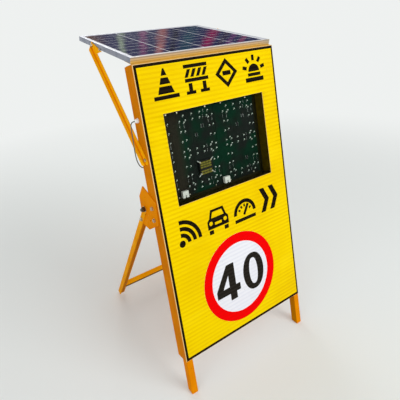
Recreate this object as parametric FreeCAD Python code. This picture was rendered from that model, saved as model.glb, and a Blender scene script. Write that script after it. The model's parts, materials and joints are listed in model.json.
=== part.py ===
import FreeCAD, Part
import math
import os

from FreeCAD import Vector

# A free-standing solar speed limit sign that leans back on a folding rear leg frame.
# Everything is drawn in the sign's own frame first: x to the viewer's right from the
# middle, y into the cabinet from its face, z up along the face from its lower edge.
# stand() then leans the whole sign back and sets it on the ground.

# Driving dimensions, millimetres and degrees
lean = 12.3
face_w = 680.0
face_h = 1190.0
cabinet_d = 58.5
sheet = 1.5
bend_r = 3.0
lip = 16.0

window_w = 500.0
window_z0 = 646.0
window_z1 = 1003.0
film_t = 0.4
film_inset = 3.0

roundel_z = 243.0
roundel_r = 200.0

post = 30.0
post_wall = 1.5
post_drop = 157.0
plug_wall = 3.0
post_top = 900.0

pivot_y = 100.0
pivot_z = 646.5
leg_open = 41.0
leg_w = 25.0
leg_t = 3.0
leg_gap = 0.3
leg_top = 15.0
leg_cutback = 92.0
flange_trim = 15.0
crossbar_s = 756.0
plate_t = 4.0
lock_r = 74.0

panel_w = 670.0
panel_l = 491.0
panel_h = 20.0
panel_y = 8.0
panel_z = 1195.0
panel_tilt = 21.8

strut_w = 20.0
strut_t = 3.0
strut_bolt_line = 1.5
strut_foot = (25.0, 852.0)
strut_head = (316.0, 1325.0)
gusset_tip = (244.0, 1292.0)

lead_d = 4.0

# Radii of the holes for M4, M5, M6 and M8 screws
hole_m4 = 2.2
hole_m5 = 2.6
hole_m6 = 3.2
hole_m8 = 4.2
gland_hole = 6.2

# Worked out from the driving dimensions
half_w = face_w / 2
panel_x0 = -half_w
leg_out = half_w + plate_t + leg_gap
ground_shift = post_drop * math.cos(math.radians(lean)) + sheet * math.sin(math.radians(lean))
X = Vector(1, 0, 0)
Y = Vector(0, 1, 0)
Z = Vector(0, 0, 1)
ORIGIN = Vector(0, 0, 0)

nodes = {}


def box(x0, x1, y0, y1, z0, z1):
    return Part.makeBox(x1 - x0, y1 - y0, z1 - z0, Vector(x0, y0, z0))


def rod(radius, start, direction, length):
    return Part.makeCylinder(radius, length, Vector(*start), direction)


def prism(points, depth):
    """Solid from a closed outline and the vector it is pushed along."""
    outline = [Vector(*p) for p in points]
    wire = Part.makePolygon(outline + [outline[0]])
    return Part.Face(wire).extrude(depth)


def side_plate(outline, x0, x1):
    """Plate standing in the y-z plane between x0 and x1."""
    return prism([(x0, y, z) for y, z in outline], Vector(x1 - x0, 0, 0))


def hexagon(across, start, direction, length):
    """Hexagonal prism along x or y, for nuts and bolt heads."""
    corner = across / math.sqrt(3)
    points = []
    for k in range(6):
        a = math.radians(60 * k + 30)
        c, s = corner * math.cos(a), corner * math.sin(a)
        if direction.x:
            points.append((start[0], start[1] + c, start[2] + s))
        else:
            points.append((start[0] + c, start[1], start[2] + s))
    return prism(points, Vector(direction) * length)


def mirrored(shape):
    return shape.mirror(ORIGIN, X)


def both_sides(shape):
    return Part.makeCompound([shape, mirrored(shape)])


def group(shapes):
    return Part.makeCompound(shapes)


def fuse(first, *others):
    return first.fuse(list(others)).removeSplitter()


def flat_ring(outer, inner, y0, y1):
    """Ring between two rectangles given as half width, z0 and z1."""
    hw, z0, z1 = outer
    iw, i0, i1 = inner
    return box(-hw, hw, y0, y1, z0, z1).cut(box(-iw, iw, y0 - 1, y1 + 1, i0, i1))


def wider(rectangle, margin):
    hw, z0, z1 = rectangle
    return hw + margin, z0 - margin, z1 + margin


def in_leg_frame(shape):
    """From a leg that hangs straight down from the origin to its open place."""
    turned = shape.copy()
    turned.rotate(ORIGIN, X, leg_open)
    turned.translate(Vector(0, pivot_y, pivot_z))
    return turned


def in_panel_frame(shape):
    """From a panel lying flat at the origin to its tilted place on the cabinet."""
    placed = shape.copy()
    placed.rotate(ORIGIN, X, panel_tilt)
    placed.translate(Vector(panel_x0, panel_y, panel_z))
    return placed


def above_ground(shape):
    """Cuts off what reaches below the ground, in the sign's own frame."""
    soil = Part.makeBox(2000, 2400, 600, Vector(-1000, -800, -600))
    soil.translate(Vector(0, 0, -ground_shift))
    soil.rotate(ORIGIN, X, lean)
    return shape.cut(soil)


def tray_blank(inset, radius, y1):
    """Solid with a rounded front, from the face back to y1."""
    z0, z1 = inset, face_h - inset
    solid = box(-half_w + inset, half_w - inset, inset, y1, z0, z1)
    front = [e for e in solid.Edges if e.BoundBox.YMax < inset + 0.01]
    return solid.makeFillet(radius, front)


# Places of the holes in the cabinet
gland_at = (30.0, 998.0)
plate_bolts_at = [(40.0, 660.0), (40.0, 612.0)]
spare_hole_at = (76.0, 602.0)
screw_xs = [-half_w + lip / 2, -110.0, 110.0, half_w - lip / 2]
screw_zs = [lip / 2, face_h * 0.25, face_h * 0.5, face_h * 0.75, face_h - lip / 2]
seat_xs = [-260.0, 0.0, 260.0]
seat_bolt_y = 34.0
cover_screws_at = [(x, z) for x in screw_xs for z in (screw_zs[0], screw_zs[-1])]
cover_screws_at += [(x, z) for x in (screw_xs[0], screw_xs[-1]) for z in screw_zs[1:-1]]


def cabinet_shell():
    shell = tray_blank(0, bend_r, cabinet_d)
    shell = shell.cut(tray_blank(sheet, bend_r - sheet, cabinet_d - sheet))
    mouth = box(-half_w + lip, half_w - lip, cabinet_d - 2 * sheet, cabinet_d + 1, lip, face_h - lip)
    window = box(-window_w / 2, window_w / 2, -1, 2 * sheet, window_z0, window_z1)
    holes = [mouth, window]
    for side in (-1, 1):
        inner = half_w - sheet
        holes.append(box(min(side * inner, side * (inner - post)), max(side * inner, side * (inner - post)),
                         sheet, sheet + post, -1, 2 * sheet))
        for y, z in plate_bolts_at + [strut_foot]:
            holes.append(rod(hole_m8, (side * half_w - 5, y, z), X, 10))
    holes.append(rod(gland_hole, (-half_w - 5, gland_at[0], gland_at[1]), X, 10))
    for x, z in cover_screws_at:
        holes.append(rod(hole_m4, (x, cabinet_d - 5, z), Y, 10))
    for x in seat_xs:
        holes.append(rod(hole_m6, (x, seat_bolt_y, face_h - 5), Z, 10))
    return shell.cut(holes)


# Stiffening ribs pressed into the rear cover: heights, half length, half width at foot and crest, and depth
rib_zs = [250.0, 595.0, 940.0]
rib_reach = 290.0
rib_foot, rib_crest = 12.0, 6.0
rib_depth = 3.0
cover_inset = 2.0


def rib_outline(y, z):
    crest = y + rib_depth
    return [(y, z - rib_foot), (crest, z - rib_crest), (crest, z + rib_crest), (y, z + rib_foot)]


def rear_cover():
    x1 = half_w - cover_inset
    cover = box(-x1, x1, cabinet_d, cabinet_d + sheet, cover_inset, face_h - cover_inset)
    for z in rib_zs:
        crest = side_plate(rib_outline(cabinet_d + sheet, z), -rib_reach, rib_reach)
        groove = side_plate(rib_outline(cabinet_d, z), -rib_reach + 2, rib_reach - 2)
        cover = cover.fuse(crest).cut(groove)
    holes = [rod(hole_m4, (x, cabinet_d - 1, z), Y, 5) for x, z in cover_screws_at]
    return cover.cut(holes).removeSplitter()


def cover_screws():
    screws = []
    for x, z in cover_screws_at:
        shank = rod(2.0, (x, cabinet_d - 6, z), Y, 6 + sheet)
        screws.append(shank.fuse(hexagon(7, (x, cabinet_d + sheet, z), Y, 2.4)))
    return group(screws)


def square_tube(x0, x1, y0, y1, z0, z1, wall):
    tube = box(x0, x1, y0, y1, z0, z1)
    tube = tube.makeFillet(2.5, [e for e in tube.Edges if e.BoundBox.ZLength > z1 - z0 - 1])
    return tube.cut(box(x0 + wall, x1 - wall, y0 + wall, y1 - wall, z0 - 1, z1 + 1))


def right_post():
    x1 = half_w - sheet
    tube = square_tube(x1 - post, x1, sheet, sheet + post, -post_drop - 40, post_top, post_wall)
    bolt_hole = rod(hole_m8, (x1 - 5, strut_foot[0], strut_foot[1]), X, 10)
    return above_ground(tube.cut(bolt_hole))


def right_post_plug():
    side = post - 2 * post_wall
    x1 = half_w - sheet - post_wall
    x0 = x1 - side
    y0 = sheet + post_wall
    y1 = y0 + side
    core = box(x0, x1, y0, y1, -post_drop - 40, -post_drop + 25)
    hollow = box(x0 + plug_wall, x1 - plug_wall, y0 + plug_wall, y1 - plug_wall,
                 -post_drop + 12, -post_drop + 30)
    return above_ground(core.cut(hollow))


def cross_rail(z_tray, z_away, x1):
    """Angle that clamps the display tray's flange, between the tray's wall and its own shelf."""
    z0, z1 = sorted((z_tray, z_away))
    shelf_z = sorted((z_away, z_away + (rail_t if z_away < z_tray else -rail_t)))
    web = box(-x1, x1, rail_y, rail_y + rail_t, z0, z1)
    shelf = box(-x1, x1, rail_y + rail_t, rail_y + rail_t + rail_shelf, *shelf_z)
    return fuse(web, shelf).cut(stud_holes())


# Display behind the window
tray_hw = window_w / 2 + 2
tray_z0, tray_z1 = window_z0 - 2, window_z1 + 2
tray_t = 1.2
tray_flange = 10.0
tray_floor = 47.0
pane_y = 3.5
pane_t = 3.0
pane_lap = 12.0
rail_y = pane_y + pane_t + tray_t
rail_t = 2.0
rail_shelf = 20.0
board_y = 36.0
board_t = 1.6
board_x0, board_x1 = -124.0, 92.0
board_hh = 170.0
board_screw_in, board_screw_up = 40.0, 5.0
board_head_r, board_head_t = 2.9, 1.7
digit_x = {"left": -85.0, "right": 132.0}
digit_z = 830.0
edge_x = -220.5
edge_hw = 11.0
edge_lamps_n = 8
edge_lamp_z0, edge_lamp_pitch = 702.0, 36.9

# Lamps of one figure: half width and half height of its outer rows, and the pitch in both rows
figure_hw, figure_hh = 80.0, 150.0
row_gap = 20.0
outer_pitch, inner_pitch = 40.0, 35.0
outer_first, inner_first = 10.0, 18.0

stud_at = [(x, z) for x in (-240.0, -80.0, 80.0, 240.0) for z in (tray_z0 - 5.5, tray_z1 + 5.5)]


def stud_holes():
    return [rod(hole_m4, (x, sheet, z), Y, 20) for x, z in stud_at]


def display_studs():
    """Weld studs on the back of the face, each with its nut behind the rail."""
    nut_y = rail_y + rail_t
    studs = []
    for x, z in stud_at:
        nut = hexagon(7, (x, nut_y, z), Y, 3.2)
        studs.append(nut.fuse(rod(2.0, (x, sheet, z), Y, nut_y + 4.5 - sheet)))
    return group(studs)


def window_gasket():
    ring = (window_w / 2 + pane_lap, window_z0 - pane_lap, window_z1 + pane_lap)
    gasket = flat_ring(ring, (window_w / 2 + 1, window_z0 - 1, window_z1 + 1), sheet, pane_y)
    return gasket.cut(stud_holes())


def window_pane():
    hw = window_w / 2 + pane_lap
    pane = box(-hw, hw, pane_y, pane_y + pane_t, window_z0 - pane_lap, window_z1 + pane_lap)
    return pane.cut(stud_holes())


def display_tray():
    y0 = pane_y + pane_t
    inner = (tray_hw, tray_z0, tray_z1)
    outer = wider(inner, tray_t)
    walls = flat_ring(outer, inner, y0, tray_floor)
    hw, z0, z1 = outer
    floor = box(-hw, hw, tray_floor, tray_floor + tray_t, z0, z1)
    flange = flat_ring(wider(inner, tray_flange), inner, y0, y0 + tray_t)
    return fuse(walls, floor, flange).cut(stud_holes())


def board_screws_at(x0, x1):
    """Screws near the ends of a board between x0 and x1, or on the middle line of a narrow one."""
    reach = board_hh - board_screw_up
    xs = (x0 + board_screw_in, x1 - board_screw_in)
    if x1 - x0 < 60:
        xs = ((x0 + x1) / 2,)
    return [(x, digit_z + dz) for x in xs for dz in (-reach, reach)]


def display_board(x0, x1):
    board = box(x0, x1, board_y, board_y + board_t, digit_z - board_hh, digit_z + board_hh)
    return board.cut([rod(1.6, (x, board_y - 1, z), Y, 5) for x, z in board_screws_at(x0, x1)])


def board_spans():
    """The edge lamps' board and the two figures' boards stand side by side."""
    spans = {"edge": (edge_x - edge_hw, edge_x + edge_hw)}
    for side, x in digit_x.items():
        spans[side + "_digit"] = (x + board_x0, x + board_x1)
    return spans


def screwed_down(spacer, x, y, z, thickness):
    """A spacer with the screw that holds on it a board whose front is at y."""
    shank = rod(1.5, (x, y, z), Y, thickness)
    head = rod(board_head_r, (x, y - board_head_t, z), Y, board_head_t)
    return fuse(spacer, shank, head)


def board_pillars():
    """Hexagonal spacers behind the boards, each with its screw."""
    back = board_y + board_t
    pillars = []
    for span in board_spans().values():
        for x, z in board_screws_at(*span):
            spacer = hexagon(5.5, (x, back, z), Y, tray_floor - back)
            pillars.append(screwed_down(spacer, x, board_y, z, board_t))
    return group(pillars)


def segment_points():
    """Middle points of the lamps of one figure: seven bars, each with an outer and an inner row of four."""
    points = []
    levels = ((figure_hh, outer_pitch), (figure_hh - row_gap, inner_pitch), (row_gap / 2, inner_pitch))
    for z, pitch in levels:
        for k in (-1.5, -0.5, 0.5, 1.5):
            points += [(k * pitch, z), (k * pitch, -z)]
    columns = ((figure_hw, outer_first, outer_pitch), (figure_hw - row_gap, inner_first, inner_pitch))
    for x, first, pitch in columns:
        for k in range(4):
            z = first + k * pitch
            points += [(x, z), (x, -z), (-x, z), (-x, -z)]
    return points


def lamp(x, z, radius=2.6, height=5.0):
    """Clear lamp as a six-sided button on the board."""
    corners = [math.radians(60 * k) for k in range(6)]
    base = [(x + radius * math.cos(a), board_y, z + radius * math.sin(a)) for a in corners]
    return prism(base, Vector(0, -height, 0))


def digit_lamps(side):
    x = digit_x[side]
    return group([lamp(x + px, digit_z + pz) for px, pz in segment_points()])


def edge_lamps():
    return group([lamp(edge_x, edge_lamp_z0 + k * edge_lamp_pitch) for k in range(edge_lamps_n)])


# Radar module in front of the left figure's board
radar_x, radar_z = digit_x["left"] + 9, 757.0
radar_hw, radar_hh = 33.0, 29.0
radar_y = 26.0
radar_t = 2.0
radar_screw_inset = 5.0


def radar_screws_at():
    dx, dz = radar_hw - radar_screw_inset, radar_hh - radar_screw_inset
    return [(radar_x + i * dx, radar_z + j * dz) for i in (-1, 1) for j in (-1, 1)]


def radar_board():
    back = radar_y + radar_t
    x0, x1 = radar_x - radar_hw, radar_x + radar_hw
    board = box(x0, x1, radar_y, back, radar_z - radar_hh, radar_z + radar_hh)
    can = box(radar_x - 22, radar_x + 22, back, back + 3, radar_z - 15, radar_z + 15)
    return fuse(board, can).cut([rod(1.6, (x, radar_y - 1, z), Y, 4) for x, z in radar_screws_at()])


def radar_pillars():
    back = radar_y + radar_t
    pillars = []
    for x, z in radar_screws_at():
        spacer = rod(2.5, (x, back, z), Y, board_y - back)
        pillars.append(screwed_down(spacer, x, radar_y, z, radar_t))
    return group(pillars)


# White connectors in the lower left corner of each figure's board
plug_w, plug_h, plug_depth = 28.0, 27.0, 13.0
plug_z0 = 661.0
plug_slot_w, plug_slot_h = 6.0, 11.0


def board_plugs():
    """Each has a slot for its latch up from the lower edge."""
    front = board_y - plug_depth
    plugs = []
    for x in digit_x.values():
        x0 = x + board_x0
        body = box(x0, x0 + plug_w, front, board_y, plug_z0, plug_z0 + plug_h)
        s0 = x0 + (plug_w - plug_slot_w) / 2
        slot = box(s0, s0 + plug_slot_w, front - 1, board_y - 3, plug_z0 - 1, plug_z0 + plug_slot_h)
        plugs.append(body.cut(slot))
    return group(plugs)


# Supply in the foot of the cabinet
battery_hw, battery_h = 130.0, 120.0
battery_y0, battery_y1 = 6.0, 49.0
battery_z0 = 6.0
tray_reach = 10.0
strap_t = 1.5
strap_z0, strap_z1 = 80.0, 98.0


def battery():
    body = box(-battery_hw, battery_hw, battery_y0, battery_y1, battery_z0, battery_z0 + battery_h)
    return body.makeFillet(6, [e for e in body.Edges if e.BoundBox.ZLength > battery_h - 20])


def battery_tray():
    x1 = battery_hw + tray_reach
    y0, y1 = battery_y0 - 2, battery_y1 + 3
    floor = box(-x1, x1, y0, y1, sheet, battery_z0)
    back = box(-x1, x1, y1 - sheet, y1, battery_z0, battery_z0 + 54)
    end = box(x1 - sheet, x1, y0, y1 - sheet, battery_z0, battery_z0 + 34)
    return fuse(floor, back, end, mirrored(end))


def battery_strap():
    x1 = battery_hw + strap_t
    return box(-x1, x1, battery_y0 - strap_t, battery_y1 + strap_t, strap_z0, strap_z1).cut(battery())


# Plate across the posts with the charge controller before it and the control board behind it
plate_y = sheet + post
plate_z0, plate_z1 = 290.0, 560.0
plate_back = plate_y + sheet
controller_x0, controller_w = -200.0, 140.0
controller_z0, controller_h = 350.0, 80.0
controller_depth, fin_depth = 25.0, 3.0
control_y = plate_back + 7
control_x0, control_w = -20.0, 170.0
control_z0, control_h = 350.0, 110.0


def equipment_plate():
    x1 = half_w - sheet - 2
    return box(-x1, x1, plate_y, plate_back, plate_z0, plate_z1)


def charge_controller():
    front = plate_y - controller_depth
    x0, x1 = controller_x0, controller_x0 + controller_w
    z0, z1 = controller_z0, controller_z0 + controller_h
    body = box(x0, x1, front, plate_y, z0, z1)
    fins = []
    for k in range(9):
        x = x0 + 5 + 15 * k
        fins.append(box(x, x + 2, front - fin_depth, front, z0 + 5, z1 - 5))
    return fuse(body, *fins)


def control_board():
    x1, z1 = control_x0 + control_w, control_z0 + control_h
    return box(control_x0, x1, control_y, control_y + board_t, control_z0, z1)


def control_pillars():
    xs = (control_x0 + 6, control_x0 + control_w - 6)
    zs = (control_z0 + 6, control_z0 + control_h - 6)
    return group([hexagon(5.5, (x, plate_back, z), Y, control_y - plate_back) for x in xs for z in zs])


def terminal_block():
    x0, z0 = control_x0 + 10, control_z0 + 12
    front = control_y + board_t
    body = box(x0, x0 + 100, front, front + 10.4, z0, z0 + 16)
    return body.cut([rod(2.2, (x0 + 8 + k * 12, front + 4.4, z0 + 8), Y, 10) for k in range(8)])


# Folding rear legs
plate_outline = [(8, 690), (92, 742), (135.5, 693), (139.5, 632), (163, 588), (148, 571), (128.5, 565),
                 (98, 557), (15, 598)]
plate_round = 4.0


def left_pivot_plate():
    x1 = -half_w
    x0 = x1 - plate_t
    plate = side_plate(plate_outline, x0, x1)
    plate = plate.makeFillet(plate_round, [e for e in plate.Edges if e.BoundBox.XLength > plate_t - 0.1])
    holes = [rod(6.0, (x0 - 1, pivot_y, pivot_z), X, plate_t + 2)]
    holes += [rod(hole_m8, (x0 - 1, y, z), X, plate_t + 2) for y, z in plate_bolts_at + [spare_hole_at]]
    holes.append(in_leg_frame(rod(hole_m8, (x0 - 1, 0, -lock_r), X, plate_t + 2)))
    return plate.cut(holes)


def left_leg():
    x0 = -leg_out - leg_t
    hw = leg_w / 2
    reach = 900.0
    flat = box(x0, x0 + leg_t, -hw, hw, -reach, 0)
    flat = flat.fuse(rod(hw, (x0, 0, 0), X, leg_t)).fuse(box(x0, x0 + leg_t, -hw, hw, 0, leg_top - hw))
    edge = box(x0, x0 + leg_w, -hw, -hw + leg_t, -reach, -leg_cutback)
    leg = flat.fuse(edge).removeSplitter()
    holes = [rod(6.05, (x0 - 1, 0, 0), X, leg_t + 2), rod(4.0, (x0 - 1, 0, -lock_r), X, leg_t + 2)]
    leg = leg.cut(holes)
    # The foot: the inward flange stops short, the side flange is cut square to a point on the ground
    tip = foot_distance()
    leg = leg.cut(box(x0 + leg_t, x0 + leg_w + 1, -hw - 1, -hw + leg_t + 1, -reach - 1, -tip + flange_trim))
    leg = leg.cut(box(x0 - 1, x0 + leg_w + 1, -hw - 1, hw + 1, -reach - 1, -tip - 2.5))
    return above_ground(in_leg_frame(leg))


def foot_distance():
    """Length along the leg from the pivot to where its front corner meets the ground."""
    o, a = math.radians(leg_open), math.radians(lean)
    hw = leg_w / 2
    y0, z0 = pivot_y - hw * math.cos(o), pivot_z - hw * math.sin(o)
    ground_z = -post_drop + (y0 - sheet) * math.tan(a)
    return (z0 - ground_z) / (math.cos(o) + math.sin(o) * math.tan(a))


def crossbar():
    hw = leg_w / 2
    x1 = leg_out + leg_t - leg_w
    top = box(-x1, x1, -hw, hw, -crossbar_s - leg_t, -crossbar_s)
    front = box(-x1, x1, -hw, -hw + leg_t, -crossbar_s - leg_w, -crossbar_s)
    return in_leg_frame(fuse(top, front))


def left_pivot_bolt():
    """Head inside the plate, thread out through plate and leg."""
    head = hexagon(18, (-half_w, pivot_y, pivot_z), X, 7.5)
    shank = rod(6.0, (-leg_out - 22, pivot_y, pivot_z), X, leg_out + 22 - half_w)
    return head.fuse(shank)


def left_pivot_washer():
    x1 = -leg_out - leg_t - leg_gap
    ring = rod(12, (x1 - 2.5, pivot_y, pivot_z), X, 2.5)
    return ring.cut(rod(6.0, (x1 - 4, pivot_y, pivot_z), X, 6))


def left_pivot_nut():
    x1 = -leg_out - leg_t - leg_gap - 2.5
    nut = hexagon(18, (x1, pivot_y, pivot_z), X * -1, 10)
    return nut.cut(rod(6.0, (x1 - 12, pivot_y, pivot_z), X, 14))


def left_plate_bolts():
    bolts = []
    for y, z in plate_bolts_at:
        head = hexagon(13, (-half_w - plate_t, y, z), X * -1, 5.3)
        bolts.append(head.fuse(rod(4.0, (-half_w - plate_t, y, z), X, plate_t + 14)))
    return group(bolts)


def left_plate_nuts():
    nuts = []
    for y, z in plate_bolts_at:
        nut = hexagon(13, (-half_w + sheet, y, z), X, 6.5)
        nuts.append(nut.cut(rod(4.0, (-half_w, y, z), X, 12)))
    return group(nuts)


def left_lock_bolt():
    """Drawn only as far as the plate, because the real one is screwed out before the leg folds."""
    x0 = -leg_out - leg_t
    washer = rod(8.5, (x0 - 1.6, 0, -lock_r), X, 1.6)
    head = hexagon(13, (x0 - 1.6, 0, -lock_r), X * -1, 5.3)
    shank = rod(4.0, (x0 - 1.6, 0, -lock_r), X, leg_t + 1.6)
    return in_leg_frame(fuse(head, washer, shank))


def left_lock_nut():
    """Nut welded to the back of the plate behind the lock hole."""
    nut = hexagon(13, (-half_w, 0, -lock_r), X, 6.5)
    return in_leg_frame(nut.cut(rod(3.4, (-half_w - 1, 0, -lock_r), X, 9)))


# Solar panel, drawn flat with its lower front left corner at the origin
frame_profile = [(0, 0), (16, 0), (16, 1.5), (1.5, 1.5), (1.5, 12.8), (8, 12.8), (8, 14), (1.5, 14),
                 (1.5, 18.5), (9, 18.5), (9, panel_h), (0, panel_h)]


def mitred_bar(length):
    """Frame bar along x from the origin, its profile reaching towards +y, ends cut at 45 degrees."""
    bar = prism([(0, a, h) for a, h in frame_profile], Vector(length, 0, 0))
    for end in (0, 1):
        x = length * end
        turn = 1 - 2 * end
        waste = prism([(x, 0, -1), (x + turn * 30, 30, -1), (x, 30, -1)], Vector(0, 0, panel_h + 2))
        bar = bar.cut(waste)
    return bar


def panel_bars():
    front = mitred_bar(panel_w)
    rear = mitred_bar(panel_w)
    rear.rotate(Vector(panel_w / 2, panel_l / 2, 0), Z, 180)
    side = mitred_bar(panel_l)
    side.rotate(ORIGIN, Z, -90)
    side.translate(Vector(0, panel_l, 0))
    other = side.copy()
    other.rotate(Vector(panel_w / 2, panel_l / 2, 0), Z, 180)
    bars = {"front": front, "rear": rear, "left": side, "right": other}
    bars = {name: in_panel_frame(bar) for name, bar in bars.items()}
    for name in ("left", "right"):
        for radius, (y, z) in ((hole_m8, strut_head), (hole_m5, gusset_tip)):
            bars[name] = bars[name].cut(rod(radius, (-half_w - 20, y, z), X, face_w + 40))
    return bars


def laminate():
    return in_panel_frame(box(1.7, panel_w - 1.7, 1.7, panel_l - 1.7, 14.0, 18.5))


box_x, box_y = panel_w / 2, 400.0
nozzle_mouth = (box_x, box_y - 49, 5)


def junction_box():
    body = box(box_x - 55, box_x + 55, box_y - 35, box_y + 35, -4, 14)
    body = body.makeFillet(5, [e for e in body.Edges if e.BoundBox.ZLength > 10])
    nozzle = rod(5.5, nozzle_mouth, Y, 15)
    bore = rod(lead_d / 2, (box_x, nozzle_mouth[1] - 1, nozzle_mouth[2]), Y, 11)
    return in_panel_frame(body.fuse(nozzle).cut(bore))


def junction_lid():
    lid = box(box_x - 53, box_x + 53, box_y - 33, box_y + 33, -8, -4)
    return in_panel_frame(lid.makeFillet(3, [e for e in lid.Edges if e.BoundBox.ZLength > 3]))


def seat_strip():
    """Bent strip: the lower half lies on the cabinet's top, the upper half carries the panel."""
    x0, x1 = panel_x0 + 2, panel_x0 + panel_w - 2
    slope = math.radians(panel_tilt)
    gap = panel_z - panel_y * math.tan(slope) - face_h
    lower = [(2, face_h), (50, face_h), (50, face_h + 2), (2, face_h + 2)]
    strip = side_plate(lower, x0, x1)
    under = gap + face_h
    rise = [(2, face_h), (4, face_h), (panel_y + 44, under + (panel_y + 44) * math.tan(slope) - 2.2),
            (panel_y + 44, under + (panel_y + 44) * math.tan(slope)), (2, under + 2 * math.tan(slope))]
    strip = strip.fuse(side_plate(rise, x0, x1)).removeSplitter()
    return strip.cut([rod(hole_m6, (x, seat_bolt_y, face_h - 1), Z, 30) for x in seat_xs])


def seat_bolts():
    bolts = []
    for x in seat_xs:
        head = hexagon_up(10, x, seat_bolt_y, face_h + 2, 4)
        bolts.append(head.fuse(rod(3.0, (x, seat_bolt_y, face_h - 10), Z, 12)))
    return group(bolts)


def hexagon_up(across, x, y, z, height):
    corner = across / math.sqrt(3)
    ring = [(x + corner * math.cos(math.radians(60 * k)), y + corner * math.sin(math.radians(60 * k)), z)
            for k in range(6)]
    return prism(ring, Vector(0, 0, height))


def left_strut():
    fy, fz = strut_foot
    hy, hz = strut_head
    length = math.hypot(hy - fy, hz - fz)
    angle = math.degrees(math.atan2(hy - fy, hz - fz))
    x1 = -half_w
    y0 = strut_bolt_line - strut_w / 2
    y1 = y0 + strut_w
    flat = box(x1 - strut_t, x1, y0, y1, -20, length + 12)
    edge = box(x1 - strut_w, x1, y1 - strut_t, y1, -20, length - 14)
    strut = flat.fuse(edge)
    for y, sign in ((y0, -1), (y1, 1)):
        corner = [(y, -20), (y, -12), (y - sign * 8, -20)]
        strut = strut.cut(side_plate(corner, x1 - strut_w - 1, x1 + 1))
    strut.rotate(ORIGIN, X, -angle)
    strut.translate(Vector(0, fy, fz))
    gy, gz = gusset_tip
    slope = math.tan(math.radians(panel_tilt))
    web = [(gy - 12, gz - 12 * slope - 7), (gy + 8, gz - 9), (hy - 30, hz - 42), (hy + 4, hz + 8)]
    web.append((hy - 20, hz - 20 * slope + 8))
    strut = strut.fuse(side_plate(web, x1 - strut_t, x1)).removeSplitter()
    holes = [rod(hole_m8, (x1 - 30, y, z), X, 40) for y, z in (strut_foot, strut_head)]
    holes.append(rod(hole_m5, (x1 - 30, gy, gz), X, 40))
    return strut.cut(holes)


def strut_bolts():
    """Lower bolts through the cabinet sides, upper ones through the panel frame."""
    spacer = half_w - (panel_x0 + panel_w)
    bolts = []
    for side in (-1, 1):
        inward = X * -side
        x = side * (half_w + strut_t)
        gap = spacer if side > 0 else 0
        for (y, z), reach in ((strut_foot, 14.0), (strut_head, 12.0 + gap)):
            head = hexagon(13, (x, y, z), X * side, 5.3)
            bolts.append(head.fuse(rod(4.0, (x, y, z), inward, strut_t + reach)))
        y, z = gusset_tip
        head = hexagon(8, (x, y, z), X * side, 3.5)
        bolts.append(head.fuse(rod(2.5, (x, y, z), inward, strut_t + gap + 8)))
    return group(bolts)


def strut_spacers():
    """The panel sits flush with the left side, so spacers fill the gap on the right."""
    x0 = panel_x0 + panel_w
    gap = half_w - x0
    tubes = []
    for (y, z), outer, inner in ((strut_head, 7.0, 4.0), (gusset_tip, 5.0, 2.5)):
        tubes.append(rod(outer, (x0, y, z), X, gap).cut(rod(inner, (x0 - 1, y, z), X, gap + 2)))
    return group(tubes)


# Gland of the panel's lead: its thread, hexagon, cap and dome
gland_thread_r, gland_thread_l = 6.0, 10.0
gland_across, gland_hex_t = 16.0, 4.0
gland_cap_r, gland_cap_t = 7.2, 7.0
gland_mouth_r, gland_dome_t = 4.2, 3.5


def cable_gland():
    gy, gz = gland_at
    x1 = -half_w
    cap_x = x1 - gland_hex_t - gland_cap_t
    flange = hexagon(gland_across, (x1, gy, gz), X * -1, gland_hex_t)
    cap = rod(gland_cap_r, (cap_x, gy, gz), X, gland_cap_t)
    dome = Part.makeCone(gland_cap_r, gland_mouth_r, gland_dome_t, Vector(cap_x, gy, gz), X * -1)
    thread = rod(gland_thread_r, (x1, gy, gz), X, gland_thread_l)
    gland = fuse(flange, cap, dome, thread)
    return gland.cut(rod(lead_d / 2, (x1 - 30, gy, gz), X, 50))


def gland_nut():
    gy, gz = gland_at
    nut = hexagon(gland_across, (-half_w + sheet, gy, gz), X, 4.0)
    return nut.cut(rod(gland_thread_r, (-half_w, gy, gz), X, 10))


# Route of the panel's lead: gland, down outside the cabinet, under the strut's foot, up behind
# the cabinet to the junction box
lead_route = [
    (-354.5, 30, 998), (-361, 30, 998), (-367, 30.3, 994.6), (-370.6, 31, 988.4),
    (-371.2, 32, 980), (-371, 34, 962), (-370.5, 37, 938), (-370, 40, 912),
    (-369, 44, 887), (-366, 49.3, 861), (-358, 57, 838), (-344, 68, 821),
    (-322, 88, 810), (-294, 117, 805), (-262, 150, 808), (-230, 181, 821),
    (-200, 208, 842), (-172, 232, 871), (-145, 252, 906), (-121, 269, 946),
    (-99, 283, 990), (-80, 293, 1035), (-63, 301, 1081), (-48, 307, 1126),
    (-35, 311, 1168), (-24, 314, 1207), (-15.5, 316, 1241), (-10, 316.5, 1272),
    (-7, 314, 1296), (-5.5, 313.5, 1311), (-5, 317, 1320.5), (-5, 323.7, 1326.7),
    (-5, 332, 1330)]


def rounded_path(points):
    """Straight runs joined by tangent arcs, and the arcs' radii."""
    edges, radii = [], []
    start = points[0]
    for before, corner, after in zip(points, points[1:], points[2:]):
        a, b = before - corner, after - corner
        turn = math.pi - a.getAngle(b)
        trim = 0.45 * min(a.Length, b.Length)
        radii.append(trim / math.tan(turn / 2))
        a.normalize()
        b.normalize()
        first, last = corner + a * trim, corner + b * trim
        middle_dir = (a + b).normalize()
        radius = radii[-1]
        centre = corner + middle_dir * math.hypot(radius, trim)
        middle = centre - middle_dir * radius
        edges.append(Part.LineSegment(start, first).toShape())
        edges.append(Part.Arc(first, middle, last).toShape())
        start = last
    edges.append(Part.LineSegment(start, points[-1]).toShape())
    return Part.Wire(edges), radii


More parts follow.
